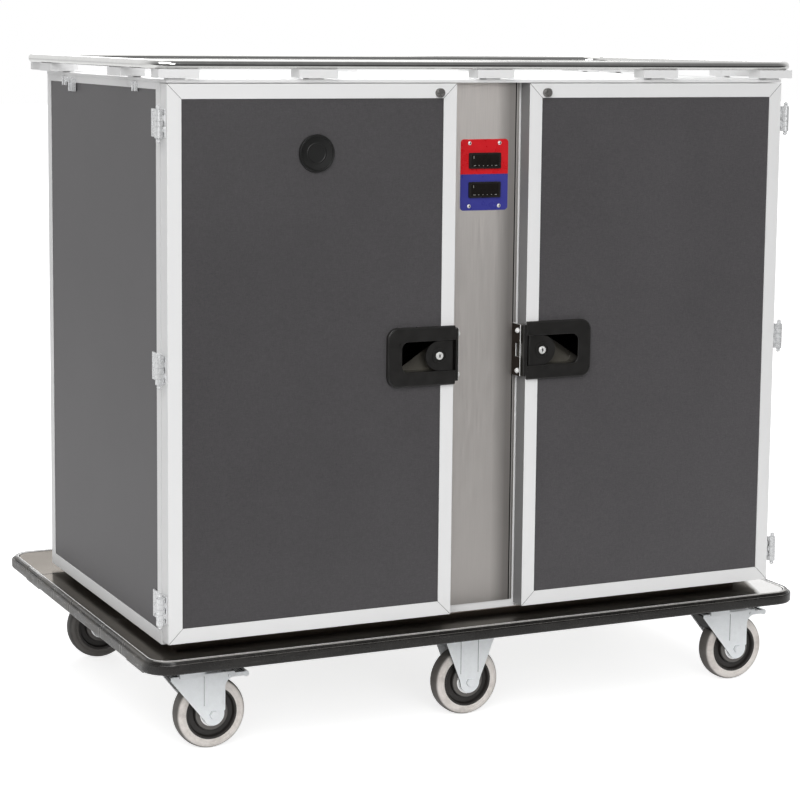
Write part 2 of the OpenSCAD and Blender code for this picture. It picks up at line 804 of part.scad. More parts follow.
module control_plate_hot() color([0.87, 0.12, 0.18]) control_plate(1);
module control_plate_cold() color([0.26, 0.27, 0.6]) control_plate(-1);

module thermostats() color([0.1, 0.1, 0.1]) {
    y0 = column_y - plate_t;
    for (z = [dial_z_hot, dial_z_cold]) difference() {
        union() {
            plate_xz(y0 - 4, y0) translate([0, z]) round_rect(dial_w, dial_h, 3);
            span([-35, y0 - 1, z - 14], [35, y0 + 58, z + 14]);
        }
        // display window
        plate_xz(y0 - 4 - eps, y0 - 3) translate([-8, z + 2]) round_rect(46, 20, 1.5);
        // keys, outlined by a groove
        for (k = [[22, 8], [32, 8], [22, -8], [32, -8]])
            difference() {
                rod_y(8, k[0], y0 - 4 - eps, y0 - 3.4, z + k[1]);
                rod_y(6.6, k[0], y0 - 4 - 2 * eps, y0 - 3, z + k[1]);
            }
    }
}

module control_screws() color([0.85, 0.85, 0.85]) {
    head_d = 9;
    for (x = [-37, 37], z = [plate_split + 68.3, plate_split - 70.2]) {
        y = column_y - plate_t;
        difference() {
            union() {
                rod_y(4, x, y - 0.5, front_y, z);
                intersection() {
                    translate([x, y + 3, z]) sphere(r = 5.6);
                    rod_y(head_d, x, y - 3, y, z);
                }
            }
            for (a = [0, 90])
                translate([x, y - 3, z]) rotate([0, a, 0]) cube([4.5, 2, 1], center = true);
        }
    }
}

// Striker beside a door: foot on the column, upright plate with the bolt's slot, two screws.
module striker(s) on_side(s) {
    foot_y = column_y - 1.5;
    y0 = door_y + 3;
    z0 = latch_z - 58;
    z1 = latch_z + 58;
    difference() {
        union() {
            span([striker_x - striker_t / 2, y0, z0], [striker_x + striker_t / 2, foot_y + 1.5, z1]);
            span([striker_x - striker_t / 2, foot_y, z0], [door_in - 2.5, foot_y + 1.5, z1]);
        }
        span([striker_x - eps - 1, bolt_y - 2, latch_z - bolt_z / 2 - 2],
             [striker_x + eps + 1, bolt_y + bolt_d + 2, latch_z + bolt_z / 2 + 2]);
    }
    for (z = [latch_z + 44, latch_z - 46])
        translate([striker_x - striker_t / 2, y0 + 8, z]) rotate([0, -90, 0]) difference() {
            union() {
                cylinder(d = 12, h = 3);
                translate([0, 0, 3]) cylinder(d1 = 12, d2 = 7, h = 3);
            }
            translate([0, 0, 5.5]) cube([8, 1.5, 2], center = true);
        }
}

// Spring clip that holds an opened door's stud, high on the side of the cabinet.
module hold_open_clip(s) on_side(s) {
    gap = 24;
    blade = 2;
    reach = 10;
    z0 = stud_z - 13;
    z1 = rail_top - 3;
    translate([half_w, stud_y_open, 0]) {
        span([0, -gap / 2 - blade, z0], [1.2, gap / 2 + blade, z1]);
        for (t = [-1, 1]) {
            span([1.2, t * (gap / 2 + blade / 2) - blade / 2, z0],
                 [reach, t * (gap / 2 + blade / 2) + blade / 2, z1]);
            // beads that the stud snaps past
            translate([reach - 2.2, t * (gap / 2), z0]) cylinder(d = 2.4, h = z1 - z0);
        }
    }
    // hooks beside it and near the front
    for (y = [stud_y_open + 66, front_y + 155])
        translate([half_w, y, 0]) {
            span([0, -14, rail_top - 10], [1.5, 14, rail_top - 1]);
            for (t = [-1, 1])
                span([0, t * 9 - 4, rail_top - 22], [5, t * 9 + 4, rail_top - 1]);
        }
}

// ---- hinges ----

// Barrel parts of one hinge. Even numbers belong to the cabinet, odd ones to the door.
module knuckle_set(first) {
    gap = 0.2;
    for (i = [first:2:knuckles - 1])
        translate([hinge_x, hinge_y, -hinge_h / 2 + i * knuckle_h + gap])
            cylinder(d = hinge_d, h = knuckle_h - 2 * gap);
}

module hinge_bores(d) {
    translate([hinge_x, hinge_y, -hinge_h / 2 - eps]) cylinder(d = d, h = hinge_h + 2 * eps);
}

// Countersunk-looking round screw heads on a surface that faces +X.
module leaf_screw(x, y, z) {
    translate([x, y, z]) rotate([0, 90, 0]) difference() {
        cylinder(d1 = 9, d2 = 6, h = 2.2);
        translate([0, 0, 1.6]) cylinder(d = 3, h = 1, $fn = 6);
    }
}

// Cabinet leaf: flat on the side, stepped out past the door's edge to the barrel.
module body_leaf() {
    step_x = half_w + 6;
    gap = 0.2;
    difference() {
        union() {
            span([half_w, front_y + 1, -hinge_h / 2], [half_w + 3, front_y + 46, hinge_h / 2]);
            span([half_w, front_y + 1, -hinge_h / 2], [step_x + 3, front_y + 4, hinge_h / 2]);
            span([step_x, hinge_y + 14, -hinge_h / 2], [step_x + 3, front_y + 4, hinge_h / 2]);
            for (i = [0:2:knuckles - 1])
                span([step_x, hinge_y, -hinge_h / 2 + i * knuckle_h + gap],
                     [step_x + 3, hinge_y + 14.5, -hinge_h / 2 + (i + 1) * knuckle_h - gap]);
            knuckle_set(0);
        }
        hinge_bores(pin_d + 2 * run);
    }
    for (z = [-20, 0, 20]) {
        leaf_screw(half_w + 3, front_y + 17, z);
        leaf_screw(half_w + 3, front_y + 36, z + 3 * sign(z));
    }
}

// What the doors hang on and are held open by: hinge leaves and clips.
module cabinet_fittings() color([0.83, 0.83, 0.82]) {
    for (s = [-1, 1]) {
        for (z = hinge_zs) on_side(s) translate([0, 0, z]) body_leaf();
        hold_open_clip(s);
    }
}

module strikers() color([0.83, 0.83, 0.82]) {
    for (s = [-1, 1]) striker(s);
}

// Door leaf, pin and finials of one hinge.
module door_leaf() {
    gap = 0.2;
    crank_y = hinge_y + 3;
    finial_h = 9;
    span([half_w, crank_y, -hinge_h / 2], [half_w + leaf_t, door_back - 2, hinge_h / 2]);
    for (i = [1:2:knuckles - 1])
        span([half_w, crank_y, -hinge_h / 2 + i * knuckle_h + gap],
             [hinge_x, crank_y + 3, -hinge_h / 2 + (i + 1) * knuckle_h - gap]);
    knuckle_set(1);
    translate([hinge_x, hinge_y, -hinge_h / 2 - slip]) cylinder(d = pin_d, h = hinge_h + 2 * slip);
    for (m = [0, 1]) mirror([0, 0, m])
        translate([hinge_x, hinge_y, hinge_h / 2 + slip]) {
            cylinder(d = 10, h = 2);
            translate([0, 0, 2]) cylinder(d1 = 7, d2 = 11, h = 3);
            translate([0, 0, 5]) cylinder(d1 = 11, d2 = 5, h = finial_h - 5);
        }
    for (z = [-17, 17])
        translate([half_w + leaf_t, door_back - 13, z]) rotate([0, 90, 0])
            cylinder(d = 8, h = 0.6);
}

module door_fittings(s) color([0.83, 0.83, 0.82]) on_side(s) {
    for (z = hinge_zs) translate([0, 0, z]) door_leaf();
    // stud that the hold-open clip takes
    rod_y(20, stud_x, door_y - 8, door_y, stud_z);
    translate([stud_x, door_y - 8, stud_z]) rotate([90, 0, 0]) cylinder(d1 = 20, d2 = 16, h = 2);
}

module door_fittings_left() door_fittings(-1);
module door_fittings_right() door_fittings(1);

// ---- doors ----

// Pocket in profile and board for the latch housing's tub, roomy under the bezel.
module tub_space() {
    play_x = 20;
    play_z = 12.5;
    span([door_in - eps - 5, door_y - eps - 5, latch_z - recess_h / 2 - 4 - play_z],
         [recess_x1 + 4 + play_x, door_y + tub_depth, latch_z + recess_h / 2 + 4 + play_z]);
}

// Frame profile ring of a right door: front band, groove for the board, back lip.
module frame_ring() {
    lip = 6;
    y0 = door_y + panel_step;
    difference() {
        span([door_in, door_y, door_z], [half_w, door_back, door_top]);
        span([door_in + door_band, door_y - eps, door_z + door_band],
             [half_w - door_band, door_back + eps, door_top - door_band]);
        span([door_in + door_band - lip, y0, door_z + door_band - lip],
             [half_w - door_band + lip, y0 + board_t, door_top - door_band + lip]);
    }
}

// The four mitred profiles, each cut from the ring by its own trapezium.
module door_frame(s) color([0.92, 0.92, 0.92]) on_side(s) {
    b = door_band;
    c = 0.12;
    x0 = door_in;
    x1 = half_w;
    z0 = door_z;
    z1 = door_top;
    cuts = [
        [[x0 + c, z0], [x1 - c, z0], [x1 - b - c, z0 + b], [x0 + b + c, z0 + b]],
        [[x0 + c, z1], [x0 + b + c, z1 - b], [x1 - b - c, z1 - b], [x1 - c, z1]],
        [[x0, z0 + c], [x0 + b, z0 + b + c], [x0 + b, z1 - b - c], [x0, z1 - c]],
        [[x1, z0 + c], [x1, z1 - c], [x1 - b, z1 - b - c], [x1 - b, z0 + b + c]]];
    for (i = [0:3]) difference() {
        intersection() {
            frame_ring();
            plate_xz(door_y, door_back) polygon(cuts[i]);
        }
        if (i == 2) tub_space();
    }
}

module door_frame_left() door_frame(-1);
module door_frame_right() door_frame(1);

module door_panel(s) color([0.3, 0.29, 0.3]) on_side(s) {
    lip = 5.8;
    y0 = door_y + panel_step;
    difference() {
        span([door_in + door_band - lip, y0, door_z + door_band - lip],
             [half_w - door_band + lip, y0 + board_t - 0.2, door_top - door_band + lip]);
        tub_space();
    }
}

module door_panel_left() door_panel(-1);
module door_panel_right() door_panel(1);

// Inner sheet of a door with a shallow pressed field.
module door_lining(s) color([0.78, 0.79, 0.8]) on_side(s) {
    y0 = door_y + panel_step + board_t - 0.2;
    press = 26;
    span([door_in + door_band, y0, door_z + door_band],
         [half_w - door_band, y0 + 1.5, door_top - door_band]);
    span([door_in + door_band + press, y0 + 1.5, door_z + door_band + press],
         [half_w - door_band - press, y0 + 4.5, door_top - door_band - press]);
}

module door_lining_left() door_lining(-1);
module door_lining_right() door_lining(1);

// ---- latches, drawn on the right door ----

// Outline of the housing seen from the front: square at the door's edge, round outside.
module housing_outline(x0) {
    r = 25;
    translate([(x0 + latch_x1) / 2, latch_z]) round_rect(latch_x1 - x0, latch_h, r);
    translate([x0, latch_z - latch_h / 2]) square([r * 2, latch_h]);
}

module recess_outline(x0) {
    r = 15;
    translate([(x0 + recess_x1) / 2, latch_z]) round_rect(recess_x1 - x0, recess_h, r);
    translate([x0, latch_z - recess_h / 2]) square([r * 2, recess_h]);
}

module latch_housing(s) color([0.16, 0.155, 0.14]) on_side(s) {
    lip_x0 = door_in - 8;
    lip_h = 115;
    bezel_x = door_in + door_band;
    edge = 2;
    difference() {
        union() {
            // bezel, with a stepped edge, over profile and board
            plate_xz(door_y - latch_proud + edge, door_y) housing_outline(door_in);
            plate_xz(door_y - latch_proud, door_y - latch_proud + edge) {
                translate([(door_in + latch_x1) / 2 - edge / 2, latch_z])
                    round_rect(latch_w - edge, latch_h - 2 * edge, 23);
                translate([door_in, latch_z - latch_h / 2 + edge]) square([50, latch_h - 2 * edge]);
            }
            intersection() {
                plate_xz(door_y, door_y + panel_step) housing_outline(door_in);
                span([bezel_x + 0.3, door_y - eps, latch_z - latch_h],
                     [latch_x1, door_y + 10, latch_z + latch_h]);
            }
            // tub in the door
            span([door_in, door_y - eps, latch_z - recess_h / 2 - 4],
                 [recess_x1 + 4, door_y + tub_depth, latch_z + recess_h / 2 + 4]);
            // lip beside the door's edge
            span([lip_x0, door_y - latch_proud + edge, latch_z - lip_h / 2],
                 [door_in, door_y + 26, latch_z + lip_h / 2]);
        }
        // finger recess
        plate_xz(door_y - latch_proud - eps, door_y + tub_depth - 3) recess_outline(door_in + 0.5);
        // way of the bolt
        span([lip_x0 - eps, bolt_y - slip, latch_z - bolt_z / 2 - slip],
             [door_in + eps, bolt_y + bolt_d + slip, latch_z + bolt_z / 2 + slip]);
    }
}

module latch_housing_left() latch_housing(-1);
module latch_housing_right() latch_housing(1);

// Grip: a plate with a round end that pivots at the door's edge, with the lock's collar.
module latch_grip(s) color([0.15, 0.145, 0.135]) on_side(s) {
    z0 = latch_z - grip_r;
    z1 = latch_z + grip_r;
    barrel_r = grip_t / 2;
    difference() {
        union() {
            plate_xz(grip_y, grip_y + grip_t - 3) {
                translate([grip_pivot_x, z0]) square([core_x - grip_pivot_x, 2 * grip_r]);
                translate([core_x, latch_z]) circle(grip_r);
            }
            plate_xz(grip_y + grip_t - 4, grip_y + grip_t) {
                translate([grip_pivot_x, z0 + 4]) square([core_x - grip_pivot_x, 2 * grip_r - 8]);
                translate([core_x, latch_z]) circle(grip_r - 4);
            }
            translate([grip_pivot_x, grip_y + barrel_r, z0]) cylinder(r = barrel_r, h = z1 - z0);
            // collar of the lock
            plate_xz(grip_y - 2, grip_y) translate([core_x, latch_z]) circle(17);
        }
        // dish round the core
        plate_xz(grip_y - 2 - eps, grip_y + 0.5) translate([core_x, latch_z]) circle(14);
        plate_xz(grip_y - eps, grip_y + grip_t - 2)
            translate([core_x, latch_z]) circle(core_d / 2 + run);
    }
}

module latch_grip_left() latch_grip(-1);
module latch_grip_right() latch_grip(1);

// Lock core with its keyway.
module lock_core(s) color([0.88, 0.88, 0.87]) on_side(s) difference() {
    union() {
        rod_y(core_d, core_x, grip_y - 1.5, grip_y + grip_t - 2.3, latch_z);
        rod_y(core_d - 3, core_x, grip_y - 2.5, grip_y - 1.5, latch_z);
    }
    span([core_x - 1.2, grip_y - 3.5, latch_z - 4.5], [core_x + 1.2, grip_y + 1, latch_z + 4.5]);
    rod_y(4, core_x, grip_y - 3.5, grip_y + 1, latch_z + 1.5);
}

module lock_core_left() lock_core(-1);
module lock_core_right() lock_core(1);

// Bolt with a bevelled tip, drawn back.
module latch_bolt(s) color([0.7, 0.7, 0.7]) on_side(s)
    translate([0, 0, latch_z - bolt_z / 2]) linear_extrude(bolt_z)
        polygon([[bolt_tip, bolt_y + bolt_d], [bolt_tip, bolt_y + 6], [bolt_tip + 5, bolt_y],
            [door_in + 26, bolt_y], [door_in + 26, bolt_y + bolt_d]]);

module latch_bolt_left() latch_bolt(-1);
module latch_bolt_right() latch_bolt(1);

// Vent cap of the left door: a lip round a dished face with a ring in it.
module vent_cap() color([0.17, 0.165, 0.16]) {
    x = -(door_in + door_w * 0.4973);
    z = door_z + door_h * 0.8756;
    r = vent_d / 2;
    translate([x, door_y + panel_step, z]) rotate([90, 0, 0]) rotate_extrude($fn = 96)
        polygon([[0, 0], [r - 1, 0], [r, 1.5], [r, 6], [r - 1.2, 7.5], [r - 3, 7.5],
            [r - 4.2, 6], [r - 5, 4.4], [r * 0.56, 3.6], [r * 0.54, 4.2], [r * 0.5, 4.2],
            [r * 0.48, 3.5], [0, 3.2]]);
}

// ---- gallery rail ----

module gallery_rail() color([0.85, 0.85, 0.84])
    translate([0, (rail_y0 + rail_y1) / 2, rail_z])
        sweep_ring(2 * rail_x, rail_y1 - rail_y0, rail_r) circle(d = rail_d);

// Open length of flat tube on a narrow foot: l along the rail, d across it.
module rail_block(l, d, foot_y) {
    wall = 2;
    foot_w = 35;
    difference() {
        span([-l / 2, 0, block_z], [l / 2, d, block_z + block_h]);
        span([-l / 2 - eps, wall, block_z + wall], [l / 2 + eps, d - wall, block_z + block_h - wall]);
    }
    span([-foot_w / 2, foot_y, top_z], [foot_w / 2, d, block_z]);
}

module rail_blocks() color([0.88, 0.88, 0.88]) {
    front_depth = 45;
    front_edge = rail_y0 - 10;
    side_depth = 55;
    side_edge = rail_x + 5;
    back_edge = rail_y1 + 10;
    back_depth = back_edge - back_y + 25;
    for (x = [-727, -418, 0, 418, 727]) {
        px = x * body_w / 1500;
        translate([px, front_edge, 0]) rail_block(block_len, front_depth, 12 + 1);
        translate([px, back_edge, 0]) mirror([0, 1, 0])
            rail_block(block_len, back_depth, back_edge - back_y);
    }
    for (s = [-1, 1], y = [0.234, 0.863])
        on_side(s) translate([side_edge, front_y + body_d * y, 0]) rotate([0, 0, 90])
            rail_block(block_len, side_depth, side_edge - half_w);
}

base_frame();
deck_plate();
bumper();
caster_plates();
cabinet_frame();
wall_panels();
roof_panel();
liners();
tray_racks();
door_gaskets();
duct_covers();
heating_element();
cooling_unit();
rear_unit_cover();
column_cover();
control_plate_hot();
control_plate_cold();
thermostats();
control_screws();
cabinet_fittings();
strikers();
gallery_rail();
rail_blocks();
swivel_fork_front_left();
swivel_fork_front_right();
swivel_fork_rear_left();
swivel_fork_rear_right();
brake_pedal_left();
brake_pedal_right();
tyre_front_left();
tyre_front_middle();
tyre_front_right();
tyre_rear_left();
tyre_rear_middle();
tyre_rear_right();
hub_front_left();
hub_front_middle();
hub_front_right();
hub_rear_left();
hub_rear_middle();
hub_rear_right();
fan_hot();
fan_cold();
door_frame_left();
door_panel_left();
door_lining_left();
door_fittings_left();
latch_housing_left();
latch_grip_left();
lock_core_left();
latch_bolt_left();
door_frame_right();
door_panel_right();
door_lining_right();
door_fittings_right();
latch_housing_right();
latch_grip_right();
lock_core_right();
latch_bolt_right();
vent_cap();
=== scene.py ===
import json
import math

import bmesh
import bpy
from mathutils import Matrix, Vector

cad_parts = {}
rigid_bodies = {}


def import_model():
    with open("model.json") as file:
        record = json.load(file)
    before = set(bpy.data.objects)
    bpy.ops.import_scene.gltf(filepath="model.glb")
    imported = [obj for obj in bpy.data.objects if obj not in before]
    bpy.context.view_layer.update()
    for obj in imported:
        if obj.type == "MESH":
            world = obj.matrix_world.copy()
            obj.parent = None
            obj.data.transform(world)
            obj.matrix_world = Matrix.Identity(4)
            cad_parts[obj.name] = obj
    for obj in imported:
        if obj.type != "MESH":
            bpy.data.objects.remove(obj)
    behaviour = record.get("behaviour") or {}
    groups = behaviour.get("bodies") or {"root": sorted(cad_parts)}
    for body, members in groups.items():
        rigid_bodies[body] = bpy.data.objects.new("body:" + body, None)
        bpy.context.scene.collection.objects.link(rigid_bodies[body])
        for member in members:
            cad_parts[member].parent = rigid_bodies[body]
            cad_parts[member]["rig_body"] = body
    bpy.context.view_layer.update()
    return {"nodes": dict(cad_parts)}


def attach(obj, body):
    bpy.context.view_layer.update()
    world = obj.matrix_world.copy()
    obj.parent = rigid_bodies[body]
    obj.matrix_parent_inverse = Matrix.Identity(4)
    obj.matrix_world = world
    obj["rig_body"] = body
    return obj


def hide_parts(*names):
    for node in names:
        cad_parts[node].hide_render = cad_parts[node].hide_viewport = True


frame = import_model()

scene = bpy.context.scene
nodes = frame["nodes"]
SIDES = (("left", -1), ("right", 1))
ROOM_LIGHT = 0.36       # what matte surfaces get from all round
ROOM_FRONT = 0.20       # what glossy surfaces see in front of the object
ROOM_BACK = 0.9         # and behind it
# places of the model, in metres
AXLE_Y = 0.3915         # the tyres' middle, in front and at the back
BUMPER_TOP = 0.2450
PLINTH_LOW = 0.2430     # where the plinth starts above the base's tubes
DOOR_LOW, DOOR_HIGH = 0.267, 1.441
DOOR_IN, DOOR_OUT = 0.0895, 0.75
DOOR_FRONT = -0.49903   # just in front of the door frames
BLOCK_LONG, BLOCK_TALL = 0.089, 0.01825
# sockets of a Mix node that have the same name for every kind of data
COLOR_A, COLOR_B, COLOR_OUT = 6, 7, 2
FLOAT_A, FLOAT_B = 2, 3


# ---- camera and light ----

def make_camera():
    """The photo's view, fitted to points measured in it; focal is in pixels of its width."""
    yaw, pitch, roll = 0.439649, 0.127159, 0.00999
    place = Vector((-2.279379, -4.876880, 1.550707))
    focal, width, sensor = 2255.429, 800, 36
    ahead = Vector((math.sin(yaw) * math.cos(pitch), math.cos(yaw) * math.cos(pitch), -math.sin(pitch)))
    right = Vector((math.cos(yaw), -math.sin(yaw), 0))
    up = right.cross(ahead)
    across = right * math.cos(roll) + up * math.sin(roll)
    upward = up * math.cos(roll) - right * math.sin(roll)
    data = bpy.data.cameras.new("camera")
    data.sensor_width = sensor
    data.lens = focal * sensor / width
    data.shift_y = -0.1
    data.clip_end = 60
    camera = bpy.data.objects.new("camera", data)
    camera.matrix_world = Matrix((
        (across.x, upward.x, -ahead.x, place.x),
        (across.y, upward.y, -ahead.y, place.y),
        (across.z, upward.z, -ahead.z, place.z),
        (0, 0, 0, 1)))
    scene.collection.objects.link(camera)
    scene.camera = camera


def area_light(name, place, aim, size, power):
    """A rectangular lamp of size metres and power watts that looks from place to aim."""
    data = bpy.data.lights.new(name, "AREA")
    data.shape = "RECTANGLE"
    data.size, data.size_y = size
    data.energy = power
    lamp = bpy.data.objects.new(name, data)
    lamp.location = place
    lamp.rotation_euler = (Vector(aim) - Vector(place)).to_track_quat("-Z", "Y").to_euler()
    scene.collection.objects.link(lamp)


def make_light():
    area_light("key", (-3.4, -5.4, 4.4), (0, -0.3, 0.6), (5.0, 5.0), 245)
    area_light("front", (-0.4, -7.4, 2.6), (0, 0, 0.5), (2.6, 2.6), 104)
    area_light("top", (0, 1.0, 6.0), (0, 0, 0), (5, 5), 60)
    area_light("rear", (2.5, 6.5, 3.4), (0, 0, 0.7), (4, 3), 110)


def make_world():
    """White to the eye. Glossy surfaces see a bright backdrop at the back and a dim room in front."""
    world = bpy.data.worlds.new("studio")
    scene.world = world
    world.use_nodes = True
    tree = world.node_tree
    tree.nodes.clear()

    def background(strength):
        node = tree.nodes.new("ShaderNodeBackground")
        node.inputs["Color"].default_value = (1, 1, 1, 1)
        if isinstance(strength, float):
            node.inputs["Strength"].default_value = strength
        else:
            tree.links.new(strength, node.inputs["Strength"])
        return node.outputs[0]

    def mix(mask, a, b):
        node = tree.nodes.new("ShaderNodeMixShader")
        tree.links.new(mask, node.inputs[0])
        tree.links.new(a, node.inputs[1])
        tree.links.new(b, node.inputs[2])
        return node.outputs[0]

    path = tree.nodes.new("ShaderNodeLightPath")
    coords = tree.nodes.new("ShaderNodeTexCoord")
    split = tree.nodes.new("ShaderNodeSeparateXYZ")
    tree.links.new(coords.outputs["Generated"], split.inputs[0])
    depth = tree.nodes.new("ShaderNodeMapRange")
    depth.interpolation_type = "SMOOTHSTEP"
    depth.inputs["From Min"].default_value = -0.75
    depth.inputs["From Max"].default_value = 0.75
    depth.inputs["To Min"].default_value = ROOM_FRONT
    depth.inputs["To Max"].default_value = ROOM_BACK
    tree.links.new(split.outputs["Y"], depth.inputs["Value"])
    seen = tree.nodes.new("ShaderNodeMath")
    seen.operation = "MAXIMUM"
    tree.links.new(path.outputs["Is Camera Ray"], seen.inputs[0])
    tree.links.new(path.outputs["Is Transmission Ray"], seen.inputs[1])
    room = mix(path.outputs["Is Glossy Ray"], background(ROOM_LIGHT), background(depth.outputs[0]))
    out = tree.nodes.new("ShaderNodeOutputWorld")
    tree.links.new(mix(seen.outputs[0], room, background(1.0)), out.inputs[0])


def make_floor():
    """Pale matte floor. To the eye it glows up to white away from the object and keeps the shadow near
    it; far in front, where the studio ends, glossy surfaces find it dim."""
    reach = 40
    mesh = bpy.data.meshes.new("floor")
    mesh.from_pydata([(-reach, -reach, 0), (reach, -reach, 0), (reach, reach, 0), (-reach, reach, 0)],
                     [], [(0, 1, 2, 3)])
    floor = bpy.data.objects.new("floor", mesh)
    scene.collection.objects.link(floor)
    mat = bpy.data.materials.new("floor")
    mat.use_nodes = True
    tree = mat.node_tree
    tree.nodes.clear()

    def ramp(value, low, high, to_low, to_high):
        node = tree.nodes.new("ShaderNodeMapRange")
        node.interpolation_type = "SMOOTHSTEP"
        limits = {"From Min": low, "From Max": high, "To Min": to_low, "To Max": to_high}
        for key, number in limits.items():
            node.inputs[key].default_value = number
        tree.links.new(value, node.inputs["Value"])
        return node.outputs[0]

    def surface(color, glow):
        matte = tree.nodes.new("ShaderNodeBsdfDiffuse")
        light = tree.nodes.new("ShaderNodeEmission")
        light.inputs["Color"].default_value = (1, 1, 1, 1)
        if isinstance(color, float):
            matte.inputs["Color"].default_value = (color, color, color, 1)
        else:
            tree.links.new(color, matte.inputs["Color"])
        tree.links.new(glow, light.inputs["Strength"])
        both = tree.nodes.new("ShaderNodeAddShader")
        tree.links.new(matte.outputs[0], both.inputs[0])
        tree.links.new(light.outputs[0], both.inputs[1])
        return both.outputs[0]

    path = tree.nodes.new("ShaderNodeLightPath")
    coords = tree.nodes.new("ShaderNodeTexCoord")
    away = tree.nodes.new("ShaderNodeVectorMath")
    away.operation = "LENGTH"
    tree.links.new(coords.outputs["Object"], away.inputs[0])
    split = tree.nodes.new("ShaderNodeSeparateXYZ")
    tree.links.new(coords.outputs["Object"], split.inputs[0])
    far = away.outputs["Value"]
    lit = ramp(split.outputs["Y"], -2.6, -1.5, 0.08, 0.8)
    sheen = tree.nodes.new("ShaderNodeMath")
    sheen.operation = "MULTIPLY"
    tree.links.new(path.outputs["Is Glossy Ray"], sheen.inputs[0])
    tree.links.new(ramp(split.outputs["Y"], -2.2, -0.4, 0.0, 0.4), sheen.inputs[1])
    seen = surface(0.8, ramp(far, 1.0, 2.2, 0.74, 1.0))
    unseen = surface(lit, sheen.outputs[0])
    mix = tree.nodes.new("ShaderNodeMixShader")
    tree.links.new(path.outputs["Is Camera Ray"], mix.inputs[0])
    tree.links.new(unseen, mix.inputs[1])
    tree.links.new(seen, mix.inputs[2])
    out = tree.nodes.new("ShaderNodeOutputMaterial")
    tree.links.new(mix.outputs[0], out.inputs[0])
    mesh.materials.append(mat)


# ---- materials ----

